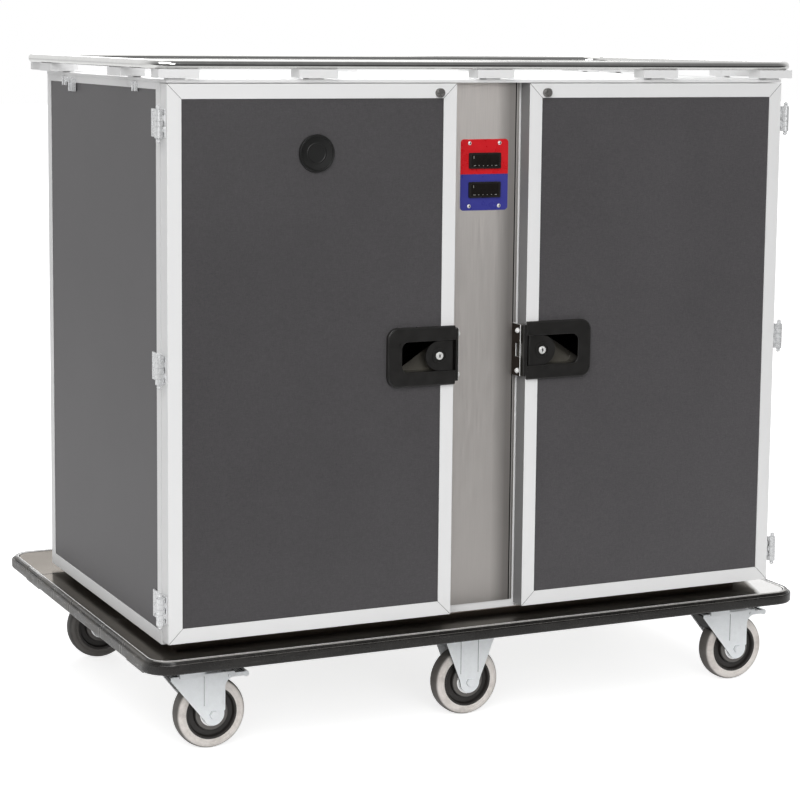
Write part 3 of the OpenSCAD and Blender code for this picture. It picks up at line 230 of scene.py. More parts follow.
class Shader:
    """A Principled material and the nodes that vary it."""

    def __init__(self, name, color, rough, metal=0.0, **constants):
        self.mat = bpy.data.materials.new(name)
        self.mat.use_nodes = True
        self.tree = self.mat.node_tree
        self.bsdf = self.tree.nodes["Principled BSDF"]
        self.color = color
        self.bsdf.inputs["Base Color"].default_value = (*color, 1)
        self.bsdf.inputs["Roughness"].default_value = rough
        self.bsdf.inputs["Metallic"].default_value = metal
        for key, value in constants.items():
            self.bsdf.inputs[key.replace("_", " ")].default_value = value
        self.coords = self.add("ShaderNodeTexCoord")
        self.tint = None        # the colour so far, once it varies
        self.rise = None        # the roughness so far

    def add(self, kind, **values):
        node = self.tree.nodes.new(kind)
        for key, value in values.items():
            setattr(node, key, value)
        return node

    def math(self, op, a, b=0.0):
        """A Math node; a is an output, b an output or a number."""
        node = self.add("ShaderNodeMath", operation=op)
        self.tree.links.new(a, node.inputs[0])
        if isinstance(b, (int, float)):
            node.inputs[1].default_value = b
        else:
            self.tree.links.new(b, node.inputs[1])
        return node.outputs[0]

    def both(self, a, b):
        """1 where both masks are."""
        return self.math("MULTIPLY", a, b)

    def noise(self, scale=(1, 1, 1), detail=2.0, rough=0.5, offset=(0, 0, 0)):
        """Noise stretched by scale, in cycles per metre."""
        place = self.add("ShaderNodeMapping")
        place.inputs["Scale"].default_value = scale
        place.inputs["Location"].default_value = offset
        self.tree.links.new(self.coords.outputs["Object"], place.inputs["Vector"])
        node = self.add("ShaderNodeTexNoise")
        node.inputs["Scale"].default_value = 1.0
        node.inputs["Detail"].default_value = detail
        node.inputs["Roughness"].default_value = rough
        self.tree.links.new(place.outputs[0], node.inputs["Vector"])
        return node.outputs["Fac"]

    def band(self, value, low, high, to_low=0.0, to_high=1.0):
        """From to_low to to_high as value goes from low to high, and level beyond."""
        node = self.add("ShaderNodeMapRange")
        node.inputs["From Min"].default_value = low
        node.inputs["From Max"].default_value = high
        node.inputs["To Min"].default_value = to_low
        node.inputs["To Max"].default_value = to_high
        self.tree.links.new(value, node.inputs["Value"])
        return node.outputs[0]

    def axis(self, name, of="Object"):
        """One axis of the place on the object, or of the way its surface faces (of="Normal")."""
        node = self.add("ShaderNodeSeparateXYZ")
        self.tree.links.new(self.coords.outputs[of], node.inputs[0])
        return node.outputs[name]

    def stripe(self, value, low, high, soft):
        """1 between low and high, with edges that are soft wide."""
        return self.both(self.band(value, low, low + soft), self.band(value, high, high - soft))

    def mix(self, mask, color):
        """Blends color in where mask is 1."""
        node = self.add("ShaderNodeMix", data_type="RGBA")
        self.tree.links.new(mask, node.inputs["Factor"])
        if self.tint is None:
            node.inputs[COLOR_A].default_value = (*self.color, 1)
        else:
            self.tree.links.new(self.tint, node.inputs[COLOR_A])
        node.inputs[COLOR_B].default_value = (*color, 1)
        self.tint = node.outputs[COLOR_OUT]
        self.tree.links.new(self.tint, self.bsdf.inputs["Base Color"])

    def vary(self, fac, amount):
        """Scales the colour by 1 - amount .. 1 + amount as fac goes from 0.25 to 0.75."""
        gain = self.band(fac, 0.25, 0.75, 1 - amount, 1 + amount)
        node = self.add("ShaderNodeVectorMath", operation="SCALE")
        if self.tint is None:
            node.inputs[0].default_value = self.color
        else:
            self.tree.links.new(self.tint, node.inputs[0])
        self.tree.links.new(gain, node.inputs["Scale"])
        self.tint = node.outputs[0]
        self.tree.links.new(self.tint, self.bsdf.inputs["Base Color"])

    def polish(self, fac, low, high):
        """Roughness between low and high as fac goes from 0.3 to 0.7."""
        self.rise = self.band(fac, 0.3, 0.7, low, high)
        self.tree.links.new(self.rise, self.bsdf.inputs["Roughness"])

    def rougher(self, mask, value):
        """Roughness goes to value where mask is 1; polish comes first."""
        node = self.add("ShaderNodeMix", data_type="FLOAT")
        self.tree.links.new(mask, node.inputs["Factor"])
        self.tree.links.new(self.rise, node.inputs[FLOAT_A])
        node.inputs[FLOAT_B].default_value = value
        self.rise = node.outputs[0]
        self.tree.links.new(self.rise, self.bsdf.inputs["Roughness"])

    def bump(self, fac, height):
        """Surface relief; height in metres for fac from 0 to 1."""
        node = self.add("ShaderNodeBump")
        node.inputs["Strength"].default_value = 1.0
        node.inputs["Distance"].default_value = height
        self.tree.links.new(fac, node.inputs["Height"])
        self.tree.links.new(node.outputs[0], self.bsdf.inputs["Normal"])

    def brushed(self, fine, tone, low, high):
        """Upright brushed grain: fine lines per metre, roughness from low to high."""
        grain = self.noise((fine, fine, fine / 90), detail=3, rough=0.65)
        self.vary(grain, tone)
        self.polish(grain, low, high)
        self.bump(grain, 0.00002)


def srgb(r, g, b):
    """A colour of 0 to 255 per channel, as Blender's linear values."""
    def line(v):
        v /= 255
        return v / 12.92 if v <= 0.04045 else ((v + 0.055) / 1.055) ** 2.4
    return line(r), line(g), line(b)


def mat_board():
    """Charcoal laminate: linen threads and fine mottle, with painted light that makes the doors paler
    towards the right.
    """
    s = Shader("board_laminate", srgb(77, 75, 77), 0.42, IOR=1.5, Specular_IOR_Level=0.42)
    weft = s.noise((90, 90, 1500), detail=2, rough=0.6)
    warp = s.noise((1500, 1500, 90), detail=2, rough=0.6, offset=(3, 7, 1))
    fleck = s.noise((700, 700, 700), detail=3, rough=0.7)
    cloud = s.noise((5, 5, 4), detail=4, rough=0.6)
    weave = s.math("ADD", weft, warp)
    weave = s.math("MULTIPLY", weave, 0.5)
    # painted light: the doors' boards are a little paler towards the right
    front = s.band(s.axis("Y"), -0.40, -0.45)
    painted_light_drift = s.both(s.band(s.axis("X"), -0.7, 0.7, -0.25, 0.25), front)
    s.vary(s.math("ADD", painted_light_drift, 0.5), 0.16)
    s.vary(weave, 0.30)
    s.vary(fleck, 0.22)
    s.vary(cloud, 0.06)
    s.polish(weave, 0.36, 0.50)
    s.bump(weave, 0.00012)
    return s.mat


def mat_frame(name, edge=False):
    """Satin anodised aluminium profile, light, with a drawn grain and small marks; with edge, a painted
    dark reflection on the doors' edges towards the column.
    """
    s = Shader(name, srgb(242, 242, 242), 0.34, IOR=1.45)
    grain = s.noise((260, 260, 260), detail=3, rough=0.7)
    mark = s.noise((38, 38, 38), detail=5, rough=0.75, offset=(2, 5, 3))
    cloud = s.noise((3, 3, 3), detail=3)
    s.vary(cloud, 0.015)
    s.mix(s.band(mark, 0.66, 0.74, 0, 0.25), srgb(190, 189, 188))
    if edge:
        # painted dark reflection: the doors' edges towards the column are darker
        sideways = s.band(s.math("ABSOLUTE", s.axis("X", of="Normal")), 0.8, 0.95)
        inner = s.band(s.math("ABSOLUTE", s.axis("X")), 0.2, 0.19)
        s.mix(s.both(sideways, s.math("MULTIPLY", inner, 0.85)), srgb(96, 96, 97))
    s.polish(grain, 0.28, 0.42)
    s.bump(grain, 0.00003)
    return s.mat


def mat_steel(name, tone, low, high):
    """Brushed stainless steel inside and at the back, roughness from low to high."""
    s = Shader(name, srgb(*tone), (low + high) / 2, metal=1.0)
    s.brushed(600, 0.08, low, high)
    cloud = s.noise((2.5, 2.5, 2.5), detail=3)
    s.vary(cloud, 0.04)
    smear = s.noise((9, 9, 5), detail=5, rough=0.7, offset=(4, 2, 8))
    s.rougher(s.band(smear, 0.52, 0.72, 0, 0.6), high + 0.12)
    return s.mat


def mat_column():
    """Brushed sheet of the column, with painted light brighter towards the top and painted shade beside
    the right door.
    """
    s = Shader("column_steel", srgb(225, 220, 216), 0.5, metal=1.0)
    # painted light: brighter towards the top
    s.vary(s.band(s.axis("Z"), 0.27, 1.44, 0.25, 0.75), 0.25)
    x = s.axis("X")
    # painted shade: darker beside the right door
    shade = s.both(s.band(x, 0.030, 0.064), s.band(x, 0.0865, 0.0860))
    s.mix(s.math("MULTIPLY", shade, 0.55), srgb(96, 92, 89))
    # a painted shadow line at the gap and a painted highlight beside it
    s.mix(s.stripe(x, 0.0760, 0.0790, 0.0004), srgb(30, 28, 27))
    s.mix(s.stripe(x, 0.0792, 0.0822, 0.0004), srgb(214, 212, 210))
    s.brushed(1100, 0.06, 0.42, 0.56)
    cloud = s.noise((2.5, 2.5, 2.5), detail=3)
    s.vary(cloud, 0.03)
    return s.mat


def mat_deck():
    """Brushed deck sheet: dull along the doors, with a painted reflection that makes it bright at the
    open right end.
    """
    s = Shader("deck_steel", srgb(150, 147, 143), 0.18, metal=1.0)
    grain = s.noise((8, 700, 700), detail=3, rough=0.65)
    smear = s.noise((9, 9, 5), detail=5, rough=0.7, offset=(4, 2, 8))
    slanted = s.math("SUBTRACT", s.axis("X"), s.math("MULTIPLY", s.axis("Y"), 0.35))
    # painted reflection: white at the open right end, in base colour and specular tint
    end = s.band(slanted, 0.884, 0.900)
    s.mix(end, srgb(250, 249, 247))
    s.vary(grain, 0.05)
    s.vary(smear, 0.06)
    tint = s.add("ShaderNodeMix", data_type="RGBA")
    s.tree.links.new(end, tint.inputs["Factor"])
    tint.inputs[COLOR_A].default_value = (0.36, 0.35, 0.34, 1)
    tint.inputs[COLOR_B].default_value = (1, 1, 1, 1)
    s.tree.links.new(tint.outputs[COLOR_OUT], s.bsdf.inputs["Specular Tint"])
    s.polish(grain, 0.13, 0.22)
    s.rougher(s.band(smear, 0.52, 0.72, 0, 0.6), 0.34)
    s.bump(grain, 0.00002)
    return s.mat


def mat_zinc(name, tone, painted_shade_tone=(30, 29, 28), striker=False):
    """Zinc plated pressing with soft spangle and grime, and painted shade where it turns away to the
    left or down.
    """
    s = Shader(name, srgb(*tone), 0.36, metal=0.08)
    spangle = s.noise((75, 75, 75), detail=2, rough=0.5)
    fine = s.noise((420, 420, 420), detail=3, rough=0.7)
    grime = s.noise((22, 22, 14), detail=5, rough=0.7, offset=(1, 4, 2))
    s.vary(spangle, 0.03)
    s.vary(fine, 0.03)
    s.mix(s.band(grime, 0.60, 0.76, 0, 0.22), srgb(150, 148, 142))
    # painted shade: the pressings are dull and dark where they turn away to the left or down
    leftward = s.band(s.axis("X", of="Normal"), -0.35, -0.75)
    downward = s.band(s.axis("Z", of="Normal"), -0.3, -0.7)
    away = s.math("MAXIMUM", leftward, downward)
    if striker:
        # but not on its screw heads
        away = s.both(away, s.band(s.math("ABSOLUTE", s.axis("X")), 0.0744, 0.0748))
    else:
        # but not on the ribs in front of the legs
        away = s.both(away, s.band(s.axis("Y"), -0.4262, -0.4250))
    s.mix(away, srgb(*painted_shade_tone))
    s.tree.links.new(s.band(away, 0, 1, 0.5, 0.04), s.bsdf.inputs["Specular IOR Level"])
    s.polish(spangle, 0.30, 0.44)
    s.bump(fine, 0.00004)
    return s.mat


def mat_bright(name, tone, low=0.08, high=0.2):
    """Polished or turned metal, roughness from low to high."""
    s = Shader(name, srgb(*tone), 0.15, metal=1.0)
    fine = s.noise((600, 600, 600), detail=2)
    worn = s.noise((60, 60, 60), detail=4, rough=0.7)
    s.vary(worn, 0.06)
    s.polish(worn, low, high)
    s.bump(fine, 0.00001)
    return s.mat


def mat_satin(name, tone, dark_above=None):
    """Bright plated fittings that keep their light whatever stands in front of them."""
    s = Shader(name, srgb(*tone), 0.26, metal=0.35)
    if dark_above:
        # turned heads of the studs at the top of the doors
        high_up = s.band(s.axis("Z"), dark_above, dark_above + 0.001)
        s.mix(s.both(high_up, s.band(s.axis("Y"), -0.496, -0.500)), srgb(112, 110, 108))
    fine = s.noise((600, 600, 600), detail=2)
    worn = s.noise((60, 60, 60), detail=4, rough=0.7)
    s.vary(worn, 0.06)
    s.mix(s.band(worn, 0.60, 0.75, 0, 0.3), srgb(140, 138, 134))
    s.polish(worn, 0.2, 0.34)
    s.bump(fine, 0.00001)
    return s.mat


def mat_latch():
    """Moulded latch: satin black, with painted light that makes it paler where the recess is deep, so
    that its shaded floor reads.
    """
    s = Shader("latch_plastic", srgb(32, 31, 30), 0.33, IOR=1.48)
    pore = s.noise((1100, 1100, 1100), detail=2, rough=0.6)
    rub = s.noise((45, 45, 45), detail=4, rough=0.7)
    # painted light: paler in two steps as the recess gets deeper, lifting its shade
    s.mix(s.band(s.axis("Y"), -0.502, -0.494), srgb(58, 56, 52))
    s.mix(s.band(s.axis("Y"), -0.494, -0.478), srgb(86, 83, 76))
    s.vary(rub, 0.10)
    s.polish(rub, 0.27, 0.41)
    s.bump(pore, 0.00005)
    return s.mat


def mat_tyre():
    """Grey tyre: pale sidewall, tread dark with dirt and painted shade, the rear ones darker all over
    with painted shade.
    """
    s = Shader("tyre_rubber", srgb(240, 234, 229), 0.6, IOR=1.5)
    fine = s.noise((420, 420, 420), detail=3, rough=0.7)
    dirt = s.noise((26, 26, 26), detail=5, rough=0.7)
    y = s.axis("Y")
    off = s.math("ABSOLUTE", s.math("SUBTRACT", s.math("ABSOLUTE", y), AXLE_Y))
    tread = s.band(off, 0.0188, 0.0150)
    s.vary(fine, 0.05)
    s.mix(s.band(dirt, 0.44, 0.68, 0, 0.42), srgb(160, 152, 145))
    # the tread darker: partly dirt, partly painted shade
    s.mix(s.math("MULTIPLY", tread, 0.9), srgb(80, 76, 72))
    # painted shade: the rear tyres darker all over
    s.mix(s.math("MULTIPLY", s.band(y, 0.30, 0.34), 0.86), srgb(52, 50, 47))
    s.polish(dirt, 0.5, 0.72)
    s.bump(fine, 0.0001)
    return s.mat


def mat_base():
    """Stove enamel of the frame under the deck; the plinth above it is painted pale brown, painted
    light that lifts its shade under the doors.
    """
    s = Shader("base_coating", srgb(60, 57, 54), 0.5, IOR=1.48)
    fine = s.noise((900, 900, 900), detail=2, rough=0.6)
    rub = s.noise((45, 45, 45), detail=4, rough=0.7)
    # painted light: the plinth above PLINTH_LOW is pale, lifting its shade under the doors
    s.mix(s.band(s.axis("Z"), PLINTH_LOW, PLINTH_LOW + 0.0006), srgb(214, 198, 186))
    s.vary(rub, 0.12)
    s.polish(rub, 0.44, 0.58)
    s.bump(fine, 0.00004)
    return s.mat


def mat_plastic(name, tone, rough, pores=0.00004, fine=900, wear=0.12):
    """Moulded plastic, unevenly rubbed, with fine pores per metre that are pores deep."""
    s = Shader(name, srgb(*tone), rough, IOR=1.48)
    pore = s.noise((fine, fine, fine), detail=2, rough=0.6)
    rub = s.noise((45, 45, 45), detail=4, rough=0.7)
    s.vary(rub, wear)
    s.polish(rub, rough - 0.06, rough + 0.08)
    s.bump(pore, pores)
    return s.mat


def mat_bumper():
    """Black rubber: glossy at the front, with painted highlights on its upper edges, grey and scuffed
    along the left side, where it has joints.
    """
    s = Shader("bumper_rubber", srgb(22, 20, 18), 0.25, IOR=1.5)
    y, z = s.axis("Y"), s.axis("Z")
    side = s.both(s.band(s.axis("X"), -0.785, -0.800), s.band(y, -0.525, -0.495))
    scuff = s.noise((14, 14, 55), detail=6, rough=0.75)
    scrape = s.noise((10, 26, 260), detail=4, rough=0.7, offset=(0, 3, 0))
    dust = s.noise((60, 60, 60), detail=4, rough=0.7)
    s.vary(dust, 0.15)
    worn = s.both(s.band(scuff, 0.42, 0.60), s.band(side, 0, 1, 0.05, 0.75))
    s.mix(worn, srgb(112, 109, 104))
    line = s.both(s.band(scrape, 0.60, 0.68), s.band(side, 0, 1, 0.06, 0.9))
    s.mix(line, srgb(160, 157, 152))
    # joints of the side: dark clips with a pale rim
    for place in (0.385, 0.27, 0.15, 0.02, -0.21, -0.36):
        near = s.math("ABSOLUTE", s.math("SUBTRACT", y, place))
        s.mix(s.both(side, s.band(near, 0.0048, 0.0040)), srgb(40, 38, 35))
        rim = s.both(s.band(near, 0.0050, 0.0056), s.band(near, 0.0078, 0.0070))
        s.mix(s.both(side, s.math("MULTIPLY", rim, 0.7)), srgb(176, 173, 166))
    # painted highlights: bright lines along the upper edges of the front
    lip_highlight = s.both(s.band(y, -0.520, -0.535), s.band(z, BUMPER_TOP - 0.0012, BUMPER_TOP - 0.0004))
    s.mix(s.math("MULTIPLY", lip_highlight, 0.75), srgb(190, 187, 183))
    shoulder_highlight = s.both(s.stripe(y, -0.5549, -0.5525, 0.0004),
                      s.band(z, BUMPER_TOP - 0.0072, BUMPER_TOP - 0.0066))
    s.mix(s.math("MULTIPLY", shoulder_highlight, 0.55), srgb(150, 147, 143))
    s.polish(dust, 0.20, 0.32)
    s.rougher(worn, 0.62)
    s.bump(scrape, 0.00015)
    return s.mat


def mat_gasket():
    """Dark matte rubber."""
    s = Shader("gasket_rubber", srgb(52, 52, 52), 0.6, IOR=1.5)
    fine = s.noise((420, 420, 420), detail=3, rough=0.7)
    dirt = s.noise((26, 26, 26), detail=5, rough=0.7)
    s.vary(fine, 0.05)
    s.polish(dirt, 0.5, 0.72)
    s.bump(fine, 0.0001)
    return s.mat


def mat_enamel(name, tone):
    """Painted sheet of the control plates."""
    s = Shader(name, srgb(*tone), 0.3, IOR=1.5)
    peel = s.noise((330, 330, 330), detail=2)
    cloud = s.noise((40, 40, 40), detail=3)
    s.vary(cloud, 0.05)
    s.polish(cloud, 0.25, 0.36)
    s.bump(peel, 0.00003)
    return s.mat


def make_materials():
    """Every material by name; the first ones are the slots of the nodes."""
    return {
        "base_coating": mat_base(),
        "deck_steel": mat_deck(),
        "bumper_rubber": mat_bumper(),
        "zinc_steel": mat_zinc("zinc_steel", (246, 249, 251)),
        "pedal_zinc": mat_zinc("pedal_zinc", (246, 249, 251)),
        "tyre_rubber": mat_tyre(),
        "hub_plastic": mat_plastic("hub_plastic", (40, 37, 35), 0.45),
        "frame_aluminium": mat_frame("frame_aluminium"),
        "board_laminate": mat_board(),
        "roof_sheet": mat_frame("roof_sheet"),
        "liner_steel": mat_steel("liner_steel", (205, 205, 203), 0.28, 0.42),
        "gasket_rubber": mat_gasket(),
        "heater_steel": mat_bright("heater_steel", (120, 108, 98), 0.3, 0.5),
        "cooler_metal": mat_bright("cooler_metal", (190, 192, 194), 0.25, 0.4),
        "cover_steel": mat_steel("cover_steel", (190, 189, 187), 0.26, 0.40),
        "column_steel": mat_column(),
        "plate_red": mat_enamel("plate_red", (216, 24, 34)),
        "plate_blue": mat_enamel("plate_blue", (60, 62, 150)),
        "dial_plastic": mat_plastic("dial_plastic", (32, 29, 28), 0.3, 0.00002),
        "screw_steel": mat_satin("screw_steel", (236, 235, 233)),
        "fitting_steel": mat_satin("fitting_steel", (232, 233, 234), dark_above=1.406),
        "rail_steel": mat_bright("rail_steel", (222, 222, 220), 0.06, 0.14),
        "block_aluminium": mat_frame("block_aluminium"),
        "fan_metal": mat_bright("fan_metal", (170, 172, 175), 0.3, 0.45),
        "latch_plastic": mat_latch(),
        "core_metal": mat_satin("core_metal", (250, 250, 248)),
        "bolt_steel": mat_bright("bolt_steel", (200, 200, 200)),
        "vent_plastic": mat_plastic("vent_plastic", (9, 9, 8), 0.42, 0.00005, 1000),
        "door_aluminium": mat_frame("door_aluminium", edge=True),
        "seam": mat_plastic("seam", (96, 96, 96), 0.6),
        "shadow_gap": mat_plastic("shadow_gap", (30, 30, 30), 0.6),
        "display_glass": mat_plastic("display_glass", (30, 27, 25), 0.12, 0.000002, 300, 0.05),
        "key_marks": mat_plastic("key_marks", (150, 150, 146), 0.5),
        "rim_highlight": mat_satin("rim_highlight", (250, 250, 249)),
        "boss_grey": mat_plastic("boss_grey", (104, 101, 98), 0.42),
        "boss_ring": mat_bright("boss_ring", (240, 240, 240), 0.18, 0.3),
        # the striker's dark tone is painted shade where it turns away
        "striker_steel": mat_zinc("striker_steel", (240, 240, 239), (44, 37, 32), striker=True),
    }


# ---- shapes ----

def new_object(name, mesh, body, slot, mat=None):
    """A piece that rides on body and shows slot's material, or mat."""
    piece = bpy.data.objects.new(name, mesh)
    scene.collection.objects.link(piece)
    mesh.materials.clear()
    mesh.materials.append(MAT[mat or slot])
    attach(piece, body)
    return piece


def finish(name, bm, body, slot, mat=None, smooth=40, bevel=0.0):
    """A piece from a bmesh: edges rolled by bevel millimetres, or sharp from smooth degrees."""
    bmesh.ops.recalc_face_normals(bm, faces=bm.faces)
    mesh = bpy.data.meshes.new(name)
    bm.to_mesh(mesh)
    bm.free()
    piece = new_object(name, mesh, body, slot, mat)
    if bevel:
        roll_edges(piece, bevel / 1000)
    else:
        mesh.shade_smooth()
        mesh.set_sharp_from_angle(angle=math.radians(smooth))
    return piece


def roll_edges(piece, width, segments=2):
    """Rolls the edges by width metres, and shades the rest flat."""
    for poly in piece.data.polygons:
        poly.use_smooth = True
    bevel = piece.modifiers.new("edges", "BEVEL")
    bevel.width = width
    bevel.segments = segments
    bevel.limit_method = "ANGLE"
    bevel.angle_limit = math.radians(32)
    bevel.use_clamp_overlap = True
    bevel.miter_outer = "MITER_ARC"
    piece.modifiers.new("normals", "WEIGHTED_NORMAL").keep_sharp = True
    graph = bpy.context.evaluated_depsgraph_get()
    done = bpy.data.meshes.new_from_object(piece.evaluated_get(graph))
    piece.modifiers.clear()
    piece.data = done


def welded(node):
    """A bmesh of the node with its vertices joined."""
    bm = bmesh.new()
    bm.from_mesh(nodes[node].data)
    bmesh.ops.remove_doubles(bm, verts=bm.verts, dist=2e-6)
    return bm


def joined(node):
    """A bmesh of the node with its vertices joined and its flat faces whole."""
    bm = welded(node)
    bmesh.ops.dissolve_limit(bm, angle_limit=math.radians(0.6), verts=bm.verts, edges=bm.edges,
                             use_dissolve_boundaries=False)
    return bm


def islands(node):
    """Centre and low and high corner of each solid of a node."""
    bm = welded(node)
    left = set(bm.verts)
    found = []
    while left:
        group = [left.pop()]
        for v in group:
            for e in v.link_edges:
                other = e.other_vert(v)
                if other in left:
                    left.remove(other)
                    group.append(other)
        low = Vector([min(v.co[i] for v in group) for i in range(3)])
        high = Vector([max(v.co[i] for v in group) for i in range(3)])
        found.append(((low + high) / 2, low, high))
    bm.free()
    return sorted(found, key=lambda f: tuple(round(c, 4) for c in f[0]))


def soften(node, width, segments=2, mat=None):
    """A copy of a node with edges rolled by width millimetres, which stands for it."""
    slot = SLOT_OF[node]
    mesh = bpy.data.meshes.new(node + "_finish")
    bm = joined(node)
    bm.to_mesh(mesh)
    bm.free()
    piece = new_object(node + "_finish", mesh, nodes[node]["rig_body"], slot, mat)
    roll_edges(piece, width / 1000, segments)
    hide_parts(node)


def add_box(bm, low, high):
    """A box between two corners, in metres."""
    place = Matrix.Translation((low + high) / 2)
    bmesh.ops.create_cube(bm, size=1, matrix=place @ Matrix.Diagonal((*(high - low), 1)))


def add_strip(bm, a, b, width, thick, facing):
    """A flat bar from a to b, in metres, lying on the plane that faces `facing`."""
    along = (b - a).normalized()
    side = along.cross(facing)
    place = Matrix((along, side, facing)).transposed().to_4x4()
    place.translation = (a + b) / 2
    size = Matrix.Diagonal(((b - a).length, width, thick, 1))
    bmesh.ops.create_cube(bm, size=1, matrix=place @ size)


def add_lathe(bm, profile, place, steps=72):
    """Turns a profile of (radius, height) round the wheels' axis, Y, through place."""
    turn = Vector((0, 0, 1)).rotation_difference(Vector((0, 1, 0))).to_matrix().to_4x4()
    turn.translation = place
    rings = []
    for r, h in profile:
        ring = []
        for i in range(steps):
            a = 2 * math.pi * i / steps
            ring.append(bm.verts.new(turn @ Vector((r * math.cos(a), r * math.sin(a), h))))
        rings.append(ring)
    for a, b in zip(rings, rings[1:]):
        for i in range(steps):
            j = (i + 1) % steps
            bm.faces.new((a[i], a[j], b[j], b[i]))


def round_path(half_x, y0, y1, radius, z, steps=10):
    """Points round a rectangle with round corners."""
    points = []
    for cx, cy, start in ((half_x - radius, y1 - radius, 0), (-half_x + radius, y1 - radius, 90),
                          (-half_x + radius, y0 + radius, 180), (half_x - radius, y0 + radius, 270)):
        for i in range(steps + 1):
            a = math.radians(start + 90 * i / steps)
            points.append(Vector((cx + radius * math.cos(a), cy + radius * math.sin(a), z)))
    return points


def add_loop(bm, path, section):
    """Sweeps a closed section of (outward, up) round a closed level path."""
    rings = []
    for i, p in enumerate(path):
        ahead = (path[(i + 1) % len(path)] - path[i - 1]).normalized()
        out = ahead.cross(Vector((0, 0, 1)))
        rings.append([bm.verts.new(p + out * o + Vector((0, 0, u))) for o, u in section])
    for a, b in zip(rings, rings[1:] + rings[:1]):
        for i in range(len(section)):
            j = (i + 1) % len(section)
            bm.faces.new((a[i], b[i], b[j], a[j]))


# ---- the cart's finish ----

FRONT = Vector((0, -1, 0))


def door_details():
    """Mitre lines, keyholes and rolled edges of the doors and what they carry."""
    start, end = 0.0002, 0.0315     # of a mitre line, from the frame's corner
    for side, sign in SIDES:
        bm = bmesh.new()
        for x, z, dx, dz in ((DOOR_IN, DOOR_LOW, 1, 1), (DOOR_OUT, DOOR_LOW, -1, 1),
                             (DOOR_IN, DOOR_HIGH, 1, -1), (DOOR_OUT, DOOR_HIGH, -1, -1)):
            a = Vector((sign * (x + dx * start), DOOR_FRONT, z + dz * start))
            b = Vector((sign * (x + dx * end), DOOR_FRONT, z + dz * end))
            add_strip(bm, a, b, 0.0008, 0.0001, FRONT)
        finish("mitre_lines_" + side, bm, "door_" + side, "gasket_rubber", mat="seam")
        soften("door_frame_" + side, 0.5, mat="door_aluminium")
        soften("latch_housing_" + side, 1.6, 3)
        soften("latch_grip_" + side, 1.8, 3)
        soften("lock_core_" + side, 0.5)
        # keyhole: an upright slot and a wider bar across it
        core = "lock_core_" + side
        centre, low, _ = islands(core)[0]
        hole = bmesh.new()
        spot = Vector((centre.x, low.y - 0.0001, centre.z))
        for reach, wide in ((Vector((0, 0, 0.0036)), 0.0017), (Vector((0.0016, 0, 0)), 0.0026)):
            add_strip(hole, spot - reach, spot + reach, wide, 0.0003, FRONT)
        finish("keyhole_" + side, hole, nodes[core]["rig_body"], "core_metal", mat="shadow_gap")
        soften("door_fittings_" + side, 0.5)
    soften("vent_cap", 0.6, 2)


def screw_crosses():
    """Cross recesses in the four heads on the control plates."""
    bm = bmesh.new()
    for centre, low, _ in islands("control_screws"):
        for turn in (0.5, 2.07):
            arm = Vector((math.cos(turn), 0, math.sin(turn))) * 0.0021
            place = Vector((centre.x, low.y + 0.0001, centre.z))
            add_strip(bm, place - arm, place + arm, 0.0010, 0.0003, FRONT)
    finish("screw_crosses", bm, "cart", "dial_plastic", mat="shadow_gap")
    soften("control_screws", 0.3)


def display_windows():
    """Glossy window and key marks of each thermostat, and rolled edges round them."""
    glass, marks = bmesh.new(), bmesh.new()
    for centre, low, _ in islands("thermostats"):
        half = Vector((0.0335, 0, 0.0135))
        add_box(glass, Vector((centre.x, low.y - 0.0006, centre.z)) - half,
                Vector((centre.x, low.y + 0.0002, centre.z)) + half)
        y = low.y - 0.0008      # of the marks, on the glass
        for i in range(6):
            x, z = centre.x - 0.026 + 0.0105 * i, centre.z - 0.0108
            wide = 0.0028 if i in (0, 5) else 0.0011
            add_strip(marks, Vector((x - wide, y, z)), Vector((x + wide, y, z)), 0.0012, 0.0002, FRONT)
        x = centre.x - 0.0285
        add_strip(marks, Vector((x, y, centre.z + 0.0045)), Vector((x, y, centre.z + 0.0105)),
                  0.0011, 0.0002, FRONT)
    finish("display_windows", glass, "cart", "dial_plastic", mat="display_glass", bevel=0.25)
    finish("display_marks", marks, "cart", "dial_plastic", mat="key_marks")
    soften("thermostats", 0.9, 3)
    soften("control_plate_hot", 0.3)
    soften("control_plate_cold", 0.3)


def base_details():
    """Rolled edges of bumper and deck, a painted highlight along the deck's rim, and its joints."""
    soften("bumper", 1.3, 3)
    soften("deck_plate", 0.5)
    # painted highlight: a bright strip along the rim of the deck sheets
    rim = bmesh.new()
    add_loop(rim, round_path(0.7945, -0.5405, 0.5405, 0.0445, 0.2436),
             [(-0.0012, -0.001), (0.0008, -0.001), (0.0008, 0.0011), (0.0002, 0.0016),
              (-0.0006, 0.0016), (-0.0012, 0.0011)])
    finish("deck_rim", rim, "cart", "deck_steel", mat="rim_highlight")
    # joint of the two deck sheets, left and right of the cabinet
    seam = bmesh.new()
    y, z = 0.299, 0.24362
    for _, sign in SIDES:
        add_strip(seam, Vector((sign * 0.7515, y, z)), Vector((sign * 0.7915, y, z)), 0.003, 0.0002,
                  Vector((0, 0, 1)))
    finish("deck_seams", seam, "cart", "deck_steel", mat="shadow_gap")


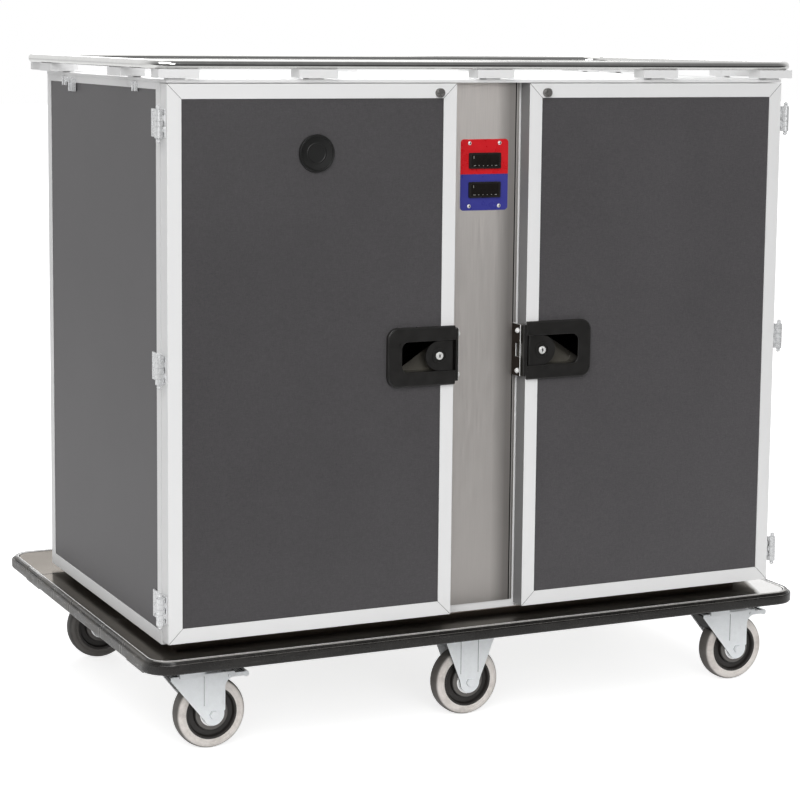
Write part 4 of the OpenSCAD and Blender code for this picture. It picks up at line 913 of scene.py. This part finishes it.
def add_wheel(where):
    """A wheel in turned pieces: tyre with round shoulders, dished hub, grey boss and bearing ring.
    Profiles are in millimetres, as radius and height from the middle of the wheel."""
    hub = nodes["hub_" + where]
    corners = [hub.matrix_world @ Vector(c) for c in hub.bound_box]
    centre = sum(corners, Vector()) / len(corners)
    half = 21       # of the tyre's width

    def turned(name, profile, slot, node=None, mat=None):
        bm = bmesh.new()
        add_lathe(bm, [(r / 1000, h / 1000) for r, h in profile], centre)
        piece = finish(name + "_" + where, bm, hub["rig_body"], slot, mat, smooth=34)
        if node:
            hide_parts(node + "_" + where)

    flank = [(58.2, half - 1), (59.5, half), (64, half), (64.6, half - 0.8), (65.4, half - 0.8),
             (66, half), (69, half), (72, half - 0.9), (75, half - 2.8), (77.4, half - 5.8),
             (79.1, half - 10), (79.9, half - 15)]
    turned("tyre_turned", [(r, -h) for r, h in flank] + [(80, 0)] + flank[::-1], "tyre_rubber", "tyre")
    dish = [(6.2, 26), (21, 26), (23, 23.4), (36, 20.6), (38.2, 19), (40, 12), (51, 12), (53, 18.6),
            (54, 19.6), (58.4, 19.6)]
    turned("hub_turned", [(r, -h) for r, h in dish] + dish[::-1] + [(6.2, -26)], "hub_plastic", "hub")
    face = [(27.5, 22.7), (27.5, 23.0), (35.6, 21.2), (36.6, 20.4)]
    ring = [(20.6, 26.2), (22, 26.6), (26.8, 25.0), (28.2, 23.6), (28.2, 22.6)]
    for end, sign in (("", -1), ("_rear", 1)):
        turned("boss_face" + end, [(r, sign * h) for r, h in face], "hub_plastic", mat="boss_grey")
        turned("boss_ring" + end, [(r, sign * h) for r, h in ring], "hub_plastic", mat="boss_ring")


def caster_details():
    """The six wheels, and rolled edges of forks, pedals and plates."""
    for end in ("front", "rear"):
        for side, _ in SIDES:
            soften(f"swivel_fork_{end}_{side}", 0.7)
        for place in ("left", "middle", "right"):
            add_wheel(end + "_" + place)
    for side, _ in SIDES:
        soften("brake_pedal_" + side, 0.8)
    soften("caster_plates", 0.5)


def cabinet_details():
    """Rolled edges of the cabinet and what is on it, and caps on the rail's blocks."""
    soften("cabinet_frame", 0.6)
    soften("column_cover", 0.4)
    soften("roof_panel", 0.8)
    # plates that close the tube ends of the rail's blocks
    caps = bmesh.new()
    edge, inset, thick = 0.0015, 0.0004, 0.001
    for _, low, high in islands("rail_blocks"):
        along = 0 if abs((high - low).x - BLOCK_LONG) < 0.001 else 1
        for sign in (-1, 1):
            a, b = low.copy(), high.copy()
            a[1 - along] += edge
            b[1 - along] -= edge
            a.z = high.z - BLOCK_TALL + edge
            b.z -= edge
            outer = (high if sign > 0 else low)[along] - sign * inset
            a[along], b[along] = sorted((outer, outer - sign * thick))
            add_box(caps, a, b)
    finish("rail_block_caps", caps, "cart", "block_aluminium", bevel=0.2)
    soften("cabinet_fittings", 0.4)
    soften("strikers", 0.4, mat="striker_steel")
    soften("rear_unit_cover", 0.8)
    soften("gallery_rail", 0.2)


make_camera()
make_light()
make_world()
make_floor()
MAT = make_materials()
SLOT_OF = {}        # the material slot of each node
for name, node in nodes.items():
    SLOT_OF[name] = node.material_slots[0].material.name.split(".")[0]
    for s in node.material_slots:
        s.material = MAT[SLOT_OF[name]]

cabinet_details()
door_details()
screw_crosses()
display_windows()
base_details()
caster_details()

scene.view_settings.view_transform = "Standard"
